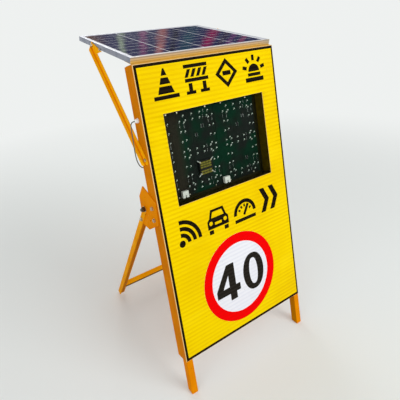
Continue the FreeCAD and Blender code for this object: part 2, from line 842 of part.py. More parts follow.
def panel_lead():
    points = [Vector(*p) for p in lead_route]
    points[-1] = in_panel_frame(Part.Vertex(*nozzle_mouth)).Point
    path, radii = rounded_path(points)
    direction = (points[1] - points[0]).normalize()
    disc = Part.Wire(Part.makeCircle(lead_d / 2, points[0], direction))
    tube = path.makePipeShell([disc], True, False)
    section = math.pi * lead_d ** 2 / 4
    print("lead length %.0f, smallest radius %.1f, volume ratio %.4f, valid %s" % (
        path.Length, min(radii), tube.Volume / (section * path.Length), tube.isValid()))
    return tube


def face_film():
    outer = (half_w - film_inset, film_inset, face_h - film_inset)
    return flat_ring(outer, (window_w / 2 + 0.5, window_z0 - 0.5, window_z1 + 0.5), -film_t, 0)


def roundel_film():
    return rod(roundel_r, (0, -2 * film_t, roundel_z), Y, film_t)


def build():
    nodes["cabinet_shell"] = cabinet_shell()
    nodes["rear_cover"] = rear_cover()
    nodes["cover_screws"] = cover_screws()
    nodes["face_film"] = face_film()
    nodes["roundel_film"] = roundel_film()
    post_shape, plug = right_post(), right_post_plug()
    nodes["left_post"], nodes["right_post"] = mirrored(post_shape), post_shape
    nodes["post_plugs"] = both_sides(plug)
    nodes["lower_rail"] = cross_rail(tray_z0 - 2, tray_z0 - 27, half_w - sheet - post)
    nodes["upper_rail"] = cross_rail(tray_z1 + 2, tray_z1 + 27, half_w - sheet)
    nodes["display_studs"] = display_studs()
    nodes["window_gasket"] = window_gasket()
    nodes["window_pane"] = window_pane()
    nodes["display_tray"] = display_tray()
    for name, span in board_spans().items():
        nodes[name + "_board"] = display_board(*span)
    for side in digit_x:
        nodes[side + "_digit_lamps"] = digit_lamps(side)
    nodes["board_pillars"] = board_pillars()
    nodes["edge_lamps"] = edge_lamps()
    nodes["radar_board"] = radar_board()
    nodes["radar_pillars"] = radar_pillars()
    nodes["board_plugs"] = board_plugs()
    nodes["battery"] = battery()
    nodes["battery_tray"] = battery_tray()
    nodes["battery_strap"] = battery_strap()
    nodes["equipment_plate"] = equipment_plate()
    nodes["charge_controller"] = charge_controller()
    nodes["control_board"] = control_board()
    nodes["control_pillars"] = control_pillars()
    nodes["terminal_block"] = terminal_block()
    plate = left_pivot_plate()
    nodes["left_pivot_plate"], nodes["right_pivot_plate"] = plate, mirrored(plate)
    nodes["plate_bolts"] = both_sides(left_plate_bolts())
    nodes["plate_nuts"] = both_sides(left_plate_nuts())
    nodes["pivot_bolts"] = both_sides(left_pivot_bolt())
    nodes["pivot_washers"] = both_sides(left_pivot_washer())
    nodes["pivot_nuts"] = both_sides(left_pivot_nut())
    leg = left_leg()
    nodes["left_leg"], nodes["right_leg"] = leg, mirrored(leg)
    nodes["crossbar"] = crossbar()
    nodes["lock_bolts"] = both_sides(left_lock_bolt())
    nodes["lock_nuts"] = both_sides(left_lock_nut())
    for name, bar in panel_bars().items():
        nodes["panel_bar_" + name] = bar
    nodes["panel_laminate"] = laminate()
    nodes["junction_box"] = junction_box()
    nodes["junction_lid"] = junction_lid()
    nodes["seat_strip"] = seat_strip()
    nodes["seat_bolts"] = seat_bolts()
    strut = left_strut()
    nodes["left_strut"], nodes["right_strut"] = strut, mirrored(strut)
    nodes["strut_bolts"] = strut_bolts()
    nodes["strut_spacers"] = strut_spacers()
    nodes["cable_gland"] = cable_gland()
    nodes["gland_nut"] = gland_nut()
    nodes["panel_lead"] = panel_lead()


def stand(shape, shift=0.0):
    """Leans the sign back, lifts it onto the ground and moves it along y."""
    placed = shape.copy()
    placed.rotate(ORIGIN, X, -lean)
    placed.translate(Vector(0, shift, ground_shift))
    return placed


def save():
    """Writes every node with the origin under the middle of the whole sign."""
    placed = {name: stand(shape) for name, shape in nodes.items()}
    whole = FreeCAD.BoundBox()
    for name, shape in placed.items():
        if name != "panel_lead":
            whole.add(shape.optimalBoundingBox(False))
    shift = -(whole.YMin + whole.YMax) / 2
    sizes = (whole.XLength, whole.YLength, whole.ZLength)
    print("size", [round(v, 2) for v in sizes])
    print("shift along y %.3f, up %.3f" % (shift, ground_shift))
    os.makedirs("parts", exist_ok=True)
    for name, shape in placed.items():
        shape.translate(Vector(0, shift, 0))
        shape.exportStep("parts/" + name + ".step")


build()
for name, shape in nodes.items():
    if not shape.isValid() or shape.Volume <= 0:
        print("check", name, shape.isValid(), round(shape.Volume, 1))
save()
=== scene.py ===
import json
import math

import bmesh
import bpy
from bpy.props import FloatProperty, FloatVectorProperty, IntProperty, PointerProperty
from mathutils import Matrix, Vector


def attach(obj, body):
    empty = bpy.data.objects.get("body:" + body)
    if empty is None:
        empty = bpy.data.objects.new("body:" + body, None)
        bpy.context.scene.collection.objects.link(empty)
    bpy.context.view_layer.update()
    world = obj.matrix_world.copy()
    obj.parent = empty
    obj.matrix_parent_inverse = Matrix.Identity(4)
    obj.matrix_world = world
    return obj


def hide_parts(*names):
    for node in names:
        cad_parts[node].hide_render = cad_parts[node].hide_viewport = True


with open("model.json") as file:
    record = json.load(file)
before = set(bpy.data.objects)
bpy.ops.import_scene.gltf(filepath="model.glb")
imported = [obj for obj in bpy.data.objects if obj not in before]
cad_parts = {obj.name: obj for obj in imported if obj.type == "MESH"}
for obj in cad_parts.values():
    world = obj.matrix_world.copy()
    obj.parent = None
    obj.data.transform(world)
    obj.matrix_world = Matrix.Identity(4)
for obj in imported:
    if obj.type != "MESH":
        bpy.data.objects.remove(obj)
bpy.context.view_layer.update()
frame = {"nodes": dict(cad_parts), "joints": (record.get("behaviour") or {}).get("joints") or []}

bl_info = {
    "name": "Solar speed limit sign",
    "version": (1, 0, 0),
    "blender": (4, 5, 0),
    "location": "3D View > Sidebar > Sign",
    "description": "Dresses the solar speed limit sign: sheeting, print, lamps, solar cells, fasteners, lead",
    "category": "Object",
}

# Driving dimensions of the sign, in millimetres and in the sign's own frame: x to the viewer's right
# from the middle, y into the cabinet from its face, z up along the face from its lower edge
MM = 0.001
LEAN = math.radians(12.3)
HALF_W, FACE_H = 340, 1190
FILM_T, FILM_INSET, RIB_DEPTH = 0.4, 3, 0.2
INK_T = 0.1
ROUNDEL_Z, ROUNDEL_R = 243, 200

# Pivot plates, and the rear legs in their own frame, which starts at the pivot
PIVOT = Vector((0, 100, 646.5))
PLATE_T = 4
PLATE_BOLTS = ((40, 660), (40, 612))
GAP = 0.3
LEG_OPEN = math.radians(41)
LEG_T, LOCK_R = 3, 74
CROSSBAR_Y, CROSSBAR_Z = -12.5, -756

# Struts by their bolts, and the solar panel in its own frame, which starts at its front left corner
STRUT_FOOT = (25, 852)
STRUT_HEAD = (316, 1325)
STRUT_TIP = (244, 1292)
STRUT_T = 3
PANEL_W, PANEL_L, PANEL_H = 670, 491, 20
PANEL_TILT = math.radians(21.8)
PANEL_CORNER = Vector((-HALF_W, 8, 1195))
GLASS_TOP = 18.5
CELL_T, RIBBON_T, BUS_T = 0.12, 0.2, 0.15
GLAND = (30, 998)

# Display: tray, boards, the lamps of the two figures, the strip of lamps at the left, and the radar module
# with its aerial patches; the chips stand on each board, seen from its figure's middle
TRAY_FOOT_Z, TRAY_FLOOR_Y = 650, 45
BOARD_Y = 36
DIGIT_X = {"left": -85, "right": 132}
DIGIT_Z = 830
FIGURE_HW, FIGURE_HH, ROW_GAP = 80, 150, 20
OUTER_PITCH, INNER_PITCH = 40, 35
EDGE_X, EDGE_Z0, EDGE_PITCH = -220.5, 702, 36.9
RADAR_X, RADAR_Y, RADAR_Z = -76, 26, 757
RADAR_REACH_X, RADAR_REACH_Z = 28, 24
PATCH_X, PATCH_Z = (-21, -7, 7, 21), (20, 10.5, 1, -15.5, -25)
CHIPS = ((-8, 62), (22, -92), (26, 92))
# Small parts of the boards: half width, half height, height above the board and chamfer
CHIP, CHIP_LEG, PAD = (4, 8, 2, 0.4), (1.2, 0.4, 0.6, 0), (1.3, 1.2, 0.5, 0.1)
RESISTOR, RESISTOR_END = (1, 1.2, 0.7, 0), (1.1, 0.5, 0.8, 0)
PATCH, RADAR_BAR = (6.2, 3.4, 0.3, 0.1), (27, 2.25, 1.2, 0.3)


def sign_matrix():
    """From the sign's own frame, in metres, to where it stands on the ground."""
    turn = Matrix.Rotation(-LEAN, 4, "X")
    joint = Vector(frame["joints"][0]["pos_m"])
    return Matrix.Translation(joint - turn @ (PIVOT * MM)) @ turn


SIGN = sign_matrix()
PANEL = SIGN @ Matrix.Translation(PANEL_CORNER * MM) @ Matrix.Rotation(PANEL_TILT, 4, "X")
LEG = SIGN @ Matrix.Translation(PIVOT * MM) @ Matrix.Rotation(LEG_OPEN, 4, "X")
# Where the lamps point, in metres above the ground, and the stretch of a noise that is alike all round
SIGN_MIDDLE = Vector((0, 0, 0.7))
EVEN = (1, 1, 1)


def linear(colour):
    """Linear colour from the 0 to 255 values of a screen."""
    parts = [value / 255 for value in colour]
    return (*(v / 12.92 if v <= 0.04045 else ((v + 0.055) / 1.055) ** 2.4 for v in parts), 1)


def placed(name, data):
    """New object in the scene that shows a mesh, curve, lamp or camera."""
    obj = bpy.data.objects.new(name, data)
    bpy.context.scene.collection.objects.link(obj)
    return obj


class Nodes:
    """Short ways to add nodes to a material or world and to feed their sockets."""

    def __init__(self, owner):
        owner.use_nodes = True
        self.tree = owner.node_tree

    def add(self, kind, inputs=None, **settings):
        """New shader node with its settings, and with values or other nodes' outputs at its inputs."""
        node = self.tree.nodes.new("ShaderNode" + kind)
        for key, value in settings.items():
            setattr(node, key, value)
        for key, value in (inputs or {}).items():
            self.feed(node.inputs[key], value)
        return node

    def feed(self, socket, value):
        if isinstance(value, bpy.types.NodeSocket):
            self.tree.links.new(value, socket)
        else:
            socket.default_value = value

    def show(self, output, share, first, second):
        """Sends a mix of two shaders to the output node."""
        mix = self.add("MixShader", {0: share, 1: first.outputs[0], 2: second.outputs[0]})
        self.feed(self.tree.nodes[output].inputs["Surface"], mix.outputs[0])


class Finish(Nodes):
    """A material and short ways to add what most finishes of the sign share."""

    def __init__(self, name, colour, roughness, metallic=0, specular=0.08, place=SIGN, ior=1.5):
        self.material = bpy.data.materials.new(name)
        super().__init__(self.material)
        self.shader = self.tree.nodes["Principled BSDF"]
        self.colour = linear(colour)
        self.set("Base Color", self.colour)
        self.set("Roughness", roughness)
        self.set("Metallic", metallic)
        self.set("Specular IOR Level", specular)
        self.set("IOR", ior)
        self.normal = None
        back = place.inverted()
        inputs = {"Vector": self.add("TexCoord").outputs["Object"], "Scale": (1 / MM,) * 3,
                  "Rotation": back.to_euler(), "Location": back.translation / MM}
        self.place = self.add("Mapping", inputs).outputs["Vector"]

    def set(self, name, value):
        self.feed(self.shader.inputs[name], value)

    def stretched(self, stretch):
        """Place on the sign in millimetres, scaled along each axis."""
        if stretch == EVEN:
            return self.place
        return self.add("VectorMath", {0: self.place, 1: stretch}, operation="MULTIPLY").outputs[0]

    def noise(self, scale, detail, stretch=EVEN):
        inputs = {"Vector": self.stretched(stretch), "Scale": scale, "Detail": detail}
        return self.add("TexNoise", inputs).outputs["Fac"]

    def cells(self, scale, output="Color", feature="F1"):
        inputs = {"Vector": self.place, "Scale": scale}
        return self.add("TexVoronoi", inputs, feature=feature).outputs[output]

    def axis(self, letter):
        return self.add("SeparateXYZ", {0: self.place}).outputs[letter]

    def math(self, operation, a, b=0):
        return self.add("Math", {0: a, 1: b}, operation=operation).outputs[0]

    def wave(self, letter, pitch):
        """Sine from 0 to 1 along one axis."""
        turns = self.math("MULTIPLY", self.axis(letter), 2 * math.pi / pitch)
        return self.spread(self.math("SINE", turns), -1, 1)

    def near(self, value, place, reach):
        """1 where the value is at a place, falling softly to 0 at its reach on both sides."""
        away = self.math("ABSOLUTE", self.math("SUBTRACT", value, place))
        inputs = {"Value": away, "From Min": reach, "From Max": 0}
        return self.add("MapRange", inputs, interpolation_type="SMOOTHSTEP").outputs["Result"]

    def spread(self, value, low, high, to_low=0, to_high=1):
        inputs = {"Value": value, "From Min": low, "From Max": high, "To Min": to_low, "To Max": to_high}
        return self.add("MapRange", inputs).outputs["Result"]

    def mix(self, share, a, b):
        """Mix of two colours, which are the node's inputs 6 and 7 and its output 2."""
        return self.add("Mix", {0: share, 6: a, 7: b}, data_type="RGBA").outputs[2]

    def tint(self, share, colour):
        """Paints another colour over the present one where share is 1."""
        self.colour = self.mix(share, self.colour, linear(colour))
        self.set("Base Color", self.colour)

    def patches(self, colour, scale, detail, low, high, share, stretch=EVEN):
        """Paints soft patches of another colour where noise rises from low to high."""
        self.tint(self.spread(self.noise(scale, detail, stretch), low, high, 0, share), colour)

    def fade(self, colour, letter, start, full, share=1):
        """Paints another colour from one place on an axis, where it starts, to the place where it is full."""
        self.tint(self.spread(self.axis(letter), start, full, 0, share), colour)

    def roughen(self, scale, detail, low, high):
        """Patches that are smoother and rougher."""
        self.set("Roughness", self.spread(self.noise(scale, detail), 0.3, 0.7, low, high))

    def bump(self, height, depth, strength=1):
        """Relief of a depth in millimetres."""
        inputs = {"Height": height, "Distance": depth * MM, "Strength": strength}
        if self.normal is not None:
            inputs["Normal"] = self.normal
        self.normal = self.add("Bump", inputs).outputs["Normal"]
        self.set("Normal", self.normal)

    def grain(self, scale, detail, depth, strength, stretch=EVEN):
        """Relief of fine noise."""
        self.bump(self.noise(scale, detail, stretch), depth, strength)


def powder_coat(name, colour, low, high, place=SIGN):
    """Sprayed enamel: orange peel, soft clouds of shade, faint run marks and small chips."""
    finish = Finish(name, colour, 0.4, ior=1.12, place=place)
    finish.patches(low, 0.009, 2, 0.38, 0.62, 0.5)
    finish.patches(high, 0.03, 3, 0.5, 0.75, 0.35, (1, 1, 0.12))
    finish.patches((92, 60, 30), 0.11, 4, 0.69, 0.74, 0.8)
    finish.roughen(0.05, 4, 0.3, 0.5)
    finish.grain(0.45, 2, 0.05, 0.5)
    return finish


def cabinet_enamel():
    """Enamel with a painted highlight along its bend at the face."""
    finish = powder_coat("cabinet_enamel", (214, 124, 0), (190, 104, 0), (226, 142, 8))
    # Painted highlight: cream along the bend at the face
    finish.fade((250, 214, 150), "Y", 2.6, 0.6, 0.85)
    return finish.material


def bar_enamel(name, colour, low, high, middle, reach, shade):
    """Enamel of the bars and posts, with painted shade in a band at a distance from the sign's middle on both
    sides.
    """
    finish = powder_coat(name, colour, low, high)
    across = finish.math("ABSOLUTE", finish.axis("X"))
    # Painted shade where the inner sides and flanges lie in shade
    finish.tint(finish.spread(finish.near(across, middle, reach), 0, 0.3, 0, 0.85), shade)
    return finish.material


def crossbar_enamel():
    """Enamel of the crossbar, with painted shade on the outer side of its front flange, which faces down and
    forward.
    """
    finish = powder_coat("crossbar_enamel", (255, 178, 12), (240, 152, 4), (255, 194, 30), LEG)
    below = finish.spread(finish.axis("Z"), CROSSBAR_Z - 1, CROSSBAR_Z - 3)
    front = finish.spread(finish.axis("Y"), CROSSBAR_Y + 1.2, CROSSBAR_Y + 0.4, 0, 0.9)
    # Painted shade on the front flange
    finish.tint(finish.math("MULTIPLY", below, front), (96, 68, 4))
    return finish.material


def rib_relief(finish, pitch):
    """Shade of the pressed ribs, and the sheeting's fine prisms between them."""
    ribs = finish.wave("Z", pitch)
    finish.bump(ribs, 0.1, 0.6)
    prisms = finish.cells(0.33, "Distance", "DISTANCE_TO_EDGE")
    finish.bump(finish.spread(prisms, 0, 0.12), 0.04, 0.5)
    return ribs


def ribbed_sheeting(name, colour, shade, glow, pitch):
    """Retroreflective film with pressed ribs, and painted shade along their grooves."""
    finish = Finish(name, colour, 0.4, specular=0.04, ior=1.2)
    ribs = rib_relief(finish, pitch)
    # Painted shade in the ribs' grooves, uneven along them
    uneven = finish.spread(finish.noise(0.006, 2), 0.3, 0.65, 0.35, 1)
    finish.tint(finish.math("MULTIPLY", finish.spread(ribs, 0.1, 0.7, 0.65, 0), uneven), shade)
    finish.patches(shade, 0.004, 2, 0.42, 0.68, 0.45)
    finish.patches(glow, 0.012, 3, 0.55, 0.75, 0.5, (0.2, 1, 1))
    finish.patches((150, 130, 60), 0.05, 4, 0.7, 0.74, 0.35)
    finish.roughen(0.02, 3, 0.32, 0.5)
    return finish.material


def screen_ink(name, colour, worn, pitch):
    """Printed layer that lies on the ribs."""
    finish = Finish(name, colour, 0.45, specular=0.04, ior=1.15)
    ribs = rib_relief(finish, pitch)
    finish.tint(finish.spread(ribs, 0.2, 0.8, 0.25, 0), worn)
    finish.patches(worn, 0.3, 4, 0.66, 0.72, 0.5)
    finish.roughen(0.05, 3, 0.34, 0.5)
    return finish.material


def plated_steel(name, colour, shade, roughness, place=SIGN):
    """Zinc plate or bare steel with clouded patches and fine scratches."""
    finish = Finish(name, colour, roughness, 1, place=place)
    finish.patches(shade, 0.12, 3, 0.4, 0.65, 0.8)
    finish.roughen(0.25, 4, roughness - 0.1, roughness + 0.14)
    finish.grain(1.4, 2, 0.03, 0.4, (0.15, 1, 1))
    return finish.material


def anodised_bar(name, colour, low):
    """Extruded aluminium with drawing lines along each bar, and the panel's left side in shade."""
    finish = Finish(name, colour, 0.42, 0.5, 0.3, PANEL)
    finish.tint(finish.near(finish.axis("X"), 0, 1.2), (128, 132, 146))
    finish.patches(low, 0.02, 3, 0.4, 0.7, 0.6)
    finish.roughen(0.08, 4, 0.34, 0.5)
    finish.grain(0.9, 2, 0.03, 0.5, (0.05, 0.05, 2))
    return finish


def front_bar():
    """The front bar's upright face carries a painted reflection of the yellow sheeting under it, and its top
    lip stays pale.
    """
    finish = anodised_bar("front_bar_anodised", (226, 222, 224), (196, 190, 188))
    finish.set("Metallic", 0.2)
    finish.set("Specular IOR Level", 0.15)
    # Painted reflection of the sheeting: tan below the lip and more golden near the foot
    finish.fade((204, 170, 124), "Z", PANEL_H - 0.5, PANEL_H - 1.2)
    finish.fade((212, 166, 76), "Z", 9, 5, 0.9)
    # Two darker bands; the upper one is painted shadow under the top lip
    for height, reach, darker_band in ((16.8, 4.4, (158, 134, 112)), (8, 2.2, (172, 130, 72))):
        finish.tint(finish.near(finish.axis("Z"), height, reach), darker_band)
    finish.fade((160, 156, 140), "X", 0.9 * PANEL_W, PANEL_W, 0.6)
    return finish.material


# Painted reflections in streaks across the solar cells: place at the panel's front edge, reach to either
# side, colour
REFLECTION_STREAKS = ((-120, 64, (98, 62, 40)), (-22, 20, (134, 148, 128)), (50, 24, (124, 62, 104)),
           (115, 30, (164, 98, 94)), (164, 24, (20, 16, 34)), (223, 52, (22, 66, 82)),
           (320, 44, (142, 0, 72)), (388, 26, (44, 24, 52)), (431, 26, (96, 36, 96)),
           (496, 30, (138, 66, 100)))


def silicon_cells():
    """Dark cells with crystal grain, silver fingers and painted reflections in soft streaks of several hues,
    wider to the rear.
    """
    finish = Finish("silicon_cells", (36, 36, 76), 0.45, specular=0.03, place=PANEL, ior=1.12)
    x, y = finish.axis("X"), finish.axis("Y")
    leaning = finish.math("SUBTRACT", x, finish.math("MULTIPLY", y, 0.5))
    opening = finish.math("ADD", finish.math("MULTIPLY", y, 0.0016), 1)
    waver = finish.spread(finish.noise(0.02, 2), 0, 1, -14, 14)
    slant = finish.math("ADD", finish.math("DIVIDE", leaning, opening), waver)
    fade = finish.spread(finish.noise(0.008, 2, (1, 0.4, 1)), 0.3, 0.6, 0.55, 1)
    # Each streak is painted reflection, leaning and widening towards the panel's rear
    for place, reach, colour in REFLECTION_STREAKS:
        finish.tint(finish.math("MULTIPLY", finish.near(slant, place, reach), fade), colour)
    crystals = finish.add("SeparateColor", {0: finish.cells(0.08)}).outputs[0]
    finish.tint(finish.math("MULTIPLY", crystals, 0.35), (14, 16, 52))
    fingers = finish.wave("Y", 2.6)
    finish.tint(finish.spread(fingers, 0.88, 0.98, 0, 0.14), (110, 116, 150))
    finish.set("Roughness", finish.spread(crystals, 0.3, 0.7, 0.4, 0.5))
    return finish.material


def moulded(name, colour, shade, roughness, grain=0.5):
    """Moulded plastic or rubber with a fine spark-eroded grain."""
    finish = Finish(name, colour, roughness)
    finish.patches(shade, 0.05, 3, 0.4, 0.7, 0.5)
    finish.roughen(0.1, 4, roughness - 0.08, roughness + 0.1)
    finish.grain(1.3, 2, 0.04, grain)
    return finish.material


def tray_enamel():
    """Dark olive enamel of the display tray, with its walls' shade painted in, and more painted shade that
    keeps its floor and its foot dark.
    """
    finish = Finish("tray_enamel", (88, 70, 4), 0.6, specular=0.04, ior=1.2)
    finish.patches((58, 46, 6), 0.04, 3, 0.4, 0.7, 0.6)
    # Painted shade on the tray's foot and on its floor behind the boards
    finish.fade((50, 42, 17), "Z", TRAY_FOOT_Z + 2, TRAY_FOOT_Z - 2)
    finish.fade((46, 43, 26), "Y", TRAY_FLOOR_Y - 1, TRAY_FLOOR_Y + 1)
    finish.grain(0.6, 2, 0.05, 0.5)
    return finish.material


def solder_mask():
    """Circuit board: dark lacquer over copper tracks and pads, browner towards the window's left edge."""
    finish = Finish("board_lacquer", (32, 32, 32), 0.4, specular=0.05, ior=1.2)
    upright = {"Vector": finish.place, "Rotation": (math.radians(90), 0, 0)}
    turned = finish.add("Mapping", upright).outputs[0]
    inputs = {"Vector": turned, "Scale": 0.055, "Mortar Size": 0.035}
    tracks = finish.add("TexBrick", inputs, offset=0.5, squash=1).outputs["Fac"]
    finish.patches((6, 48, 32), 0.011, 2, 0.42, 0.6, 0.85)
    finish.tint(finish.math("MULTIPLY", tracks, 0.5), (20, 46, 34))
    finish.fade((46, 42, 35), "X", EDGE_X + 70.5, EDGE_X + 35.5, 0.9)
    finish.roughen(0.09, 3, 0.34, 0.5)
    finish.grain(0.2, 3, 0.02, 0.2)
    return finish.material


def clear_epoxy():
    """Clear lens: its foot takes the board's dark tone, and a painted highlight shows at the top of its dome.
    """
    finish = Finish("clear_epoxy", (52, 84, 64), 0.12, specular=0.5)
    finish.patches((18, 92, 44), 0.05, 1, 0.4, 0.7, 0.6)
    # Painted highlight: pale at the top of the dome
    finish.fade((236, 248, 238), "Y", BOARD_Y - 3.6, BOARD_Y - 5)
    finish.set("Coat Weight", 0.6)
    finish.roughen(0.3, 3, 0.08, 0.2)
    return finish.material


def clear_acrylic():
    """Window pane: light passes with faint smears, and it glosses only when seen along its surface."""
    finish = Finish("clear_acrylic", (235, 238, 235), 0.05)
    smears = finish.spread(finish.noise(0.012, 3, (1, 1, 0.3)), 0.35, 0.75)
    tone = finish.mix(smears, (0.97, 0.98, 0.97, 1), (0.86, 0.88, 0.86, 1))
    clear = finish.add("BsdfTransparent", {"Color": tone})
    gloss = finish.add("BsdfGlossy", {"Color": (1, 1, 1, 1), "Roughness": 0.06})
    facing = finish.add("LayerWeight", {"Blend": 0.5}).outputs["Facing"]
    finish.show("Material Output", finish.spread(facing, 0.72, 1, 0, 0.5), clear, gloss)
    finish.tree.nodes.remove(finish.shader)
    return finish.material


def webbing():
    """Woven strap."""
    finish = Finish("webbing", (34, 34, 36), 0.8)
    weave = finish.math("MULTIPLY", finish.wave("X", 2), finish.wave("Z", 1.6))
    finish.tint(weave, (62, 62, 66))
    finish.bump(weave, 0.3)
    return finish.material


# Flat outlines are closed lists of two coordinates in millimetres
def rect(x0, x1, z0, z1):
    return [(x0, z0), (x1, z0), (x1, z1), (x0, z1)]


def arc(cx, cz, r, start, end, steps):
    turns = [math.radians(start + (end - start) * k / steps) for k in range(steps + 1)]
    return [(cx + r * math.cos(a), cz + r * math.sin(a)) for a in turns]


def disc(cx, cz, r, steps):
    return arc(cx, cz, r, 0, 360 - 360 / steps, steps - 1)


def band(cx, cz, r0, r1, start, end, steps=18):
    """Part of a ring."""
    return arc(cx, cz, r1, start, end, steps) + arc(cx, cz, r0, end, start, steps)


def squared_oval(cx, cz, half_w, half_h, squareness):
    """Oval with flattened sides; its 56 steps miss the points where the cosine is nought."""
    turns = [2 * math.pi * (k + 0.5) / 56 for k in range(56)]
    return [(cx + half_w * math.cos(a) * abs(math.cos(a)) ** -squareness, cz + half_h * math.sin(a))
            for a in turns]


def stroke(x0, z0, x1, z1, width):
    """Straight bar of a stated width between two points."""
    along = Vector((x1 - x0, z1 - z0)).normalized() * (width / 2)
    side = Vector((-along.y, along.x))
    return [(x0 + side.x, z0 + side.y), (x0 - side.x, z0 - side.y), (x1 - side.x, z1 - side.y),
            (x1 + side.x, z1 + side.y)]


def rays(cz, r0, r1, angles, width):
    """Short bars that point away from a middle at x = 0, at angles in degrees."""
    out = []
    for a in angles:
        c, s = math.cos(math.radians(a)), math.sin(math.radians(a))
        out.append(stroke(r0 * c, cz + r0 * s, r1 * c, cz + r1 * s, width))
    return out


class Shape:
    """A mesh that is drawn in millimetres as stacks of rings."""

    def __init__(self):
        self.bm = bmesh.new()

    def stack(self, rings, closed=False):
        """Skins successive rings of points; closed joins the last to the first instead of capping both."""
        rows = [[self.bm.verts.new(p) for p in ring] for ring in rings]
        pairs = list(zip(rows, rows[1:]))
        if closed:
            pairs.append((rows[-1], rows[0]))
        for a, b in pairs:
            for k in range(len(a)):
                n = (k + 1) % len(a)
                self.bm.faces.new((a[k], a[n], b[n], b[k]))
        if not closed:
            self.bm.faces.new(rows[0])
            self.bm.faces.new(rows[-1])

    def slab(self, outline, low, high):
        """Plate with an outline of (x, y) points between two heights."""
        self.stack([[(x, y, h) for x, y in outline] for h in (low, high)])

    def block(self, x, z, size, base):
        """Box round (x, z) that stands out from a board at y = base, its front and back rims chamfered."""
        half_w, half_h, thick, edge = size
        front = base - thick
        levels = [(front, 0), (base, 0)]
        if edge:
            levels = [(front, edge), (front + edge, 0), (base - edge, 0), (base, edge)]
        x0, x1, z0, z1 = x - half_w, x + half_w, z - half_h, z + half_h
        self.stack([[(px, y, pz) for px, pz in rect(x0 + d, x1 - d, z0 + d, z1 - d)] for y, d in levels])

    def turned(self, profile, at, axis, sides=16, factor=None):
        """Solid of revolution: profile holds (radius, distance along axis), factor(k) scales side k."""
        frame_of = axis_matrix(at, axis)

        def point(r, h, k):
            a = 2 * math.pi * k / sides
            scale = factor(k) if factor else 1
            return frame_of @ Vector((r * scale * math.cos(a), r * scale * math.sin(a), h))

        self.stack([[point(r, h, k) for k in range(sides)] for r, h in profile])

    def hex_head(self, across, height, at, axis, bore=None):
        """Nut or bolt head with its chamfered crown; bore makes it a nut."""
        frame_of = axis_matrix(at, axis)
        turns = [math.radians(15 * k) for k in range(24)]
        crown = across / 2 * 0.96
        flats = [across / 2 / math.cos((a + math.pi / 6) % (math.pi / 3) - math.pi / 6) for a in turns]
        shoulder = [height - (r - crown) * math.tan(math.radians(30)) for r in flats]
        rings = [(flats, [0] * 24), (flats, shoulder), ([crown] * 24, [height] * 24)]
        if bore:
            rings += [([bore] * 24, [h] * 24) for h in (height, 0)]
        rings = [[(r * math.cos(a), r * math.sin(a), h) for a, r, h in zip(turns, *ring)] for ring in rings]
        self.stack([[frame_of @ Vector(point) for point in ring] for ring in rings], closed=bool(bore))

    def threaded(self, radius, length, pitch, at, axis):
        """Bolt end with rolled thread grooves and a chamfered tip."""
        root = radius * 0.88
        profile = [(root, 0)]
        for k in range(int(length / pitch) - 1):
            profile += [(root, (k + 0.1) * pitch), (radius, (k + 0.5) * pitch), (radius, (k + 0.7) * pitch)]
        profile += [(radius * 0.9, length - 1), (radius * 0.75, length)]
        self.turned(profile, at, axis, 20)


def axis_matrix(at, axis):
    """Turns z onto an axis and moves the origin to a place."""
    turn = Vector(axis).to_track_quat("Z", "Y").to_matrix().to_4x4()
    return Matrix.Translation(Vector(at)) @ turn


SHARP_ANGLE = math.radians(40)


def piece(name, shape, finish, body="cabinet", place=SIGN, edge=0, stands_for=()):
    """Turns a drawn shape into a piece in its place, on its body and with its finish."""
    if isinstance(shape, Shape):
        bmesh.ops.recalc_face_normals(shape.bm, faces=shape.bm.faces)
        mesh = bpy.data.meshes.new(name)
        shape.bm.to_mesh(mesh)
        shape.bm.free()
    else:
        mesh = shape
        mesh.name = name
    mesh.transform(place @ Matrix.Scale(MM, 4))
    mesh.materials.clear()
    mesh.materials.append(finish)
    mesh.shade_smooth()
    mesh.set_sharp_from_angle(angle=SHARP_ANGLE)
    obj = placed(name, mesh)
    if edge:
        soften(obj, edge)
    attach(obj, body)
    if stands_for:
        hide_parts(*stands_for)


# Nodes whose sheared edges are rounded, by how many millimetres
SOFTENED = {
    1: "junction_lid",
    0.8: "left_pivot_plate right_pivot_plate left_leg right_leg crossbar left_strut right_strut",
    0.6: "board_plugs",
    0.4: "seat_strip battery_tray",
    0.3: "equipment_plate panel_bar_front panel_bar_rear panel_bar_left panel_bar_right",
}


def soften(obj, width):
    """Rounds the hard edges a little, as paint and handling do."""
    joined = obj.modifiers.new("joined_corners", "WELD")
    joined.merge_threshold = 0.00001
    bevel = obj.modifiers.new("worn_edges", "BEVEL")
    bevel.width = width * MM
    bevel.segments = 2
    bevel.limit_method = "ANGLE"
    bevel.angle_limit = math.radians(35)
    bevel.harden_normals = True


def printed(outlines):
    """Thin layer of ink in the x-z plane with its back at y = 0; an outline inside another is a hole."""
    curve = bpy.data.curves.new("print", "CURVE")
    curve.dimensions = "2D"
    curve.fill_mode = "BOTH"
    curve.extrude = INK_T / 2
    for outline in outlines:
        spline = curve.splines.new("POLY")
        spline.points.add(len(outline) - 1)
        for point, (x, z) in zip(spline.points, outline):
            point.co = (x, z, 0, 1)
        spline.use_cyclic_u = True
    holder = placed("print", curve)
    mesh = bpy.data.meshes.new_from_object(holder)
    bpy.data.objects.remove(holder)
    bpy.data.curves.remove(curve)
    mesh.transform(Matrix.Translation((0, -INK_T / 2, 0)) @ Matrix.Rotation(math.radians(90), 4, "X"))
    return mesh


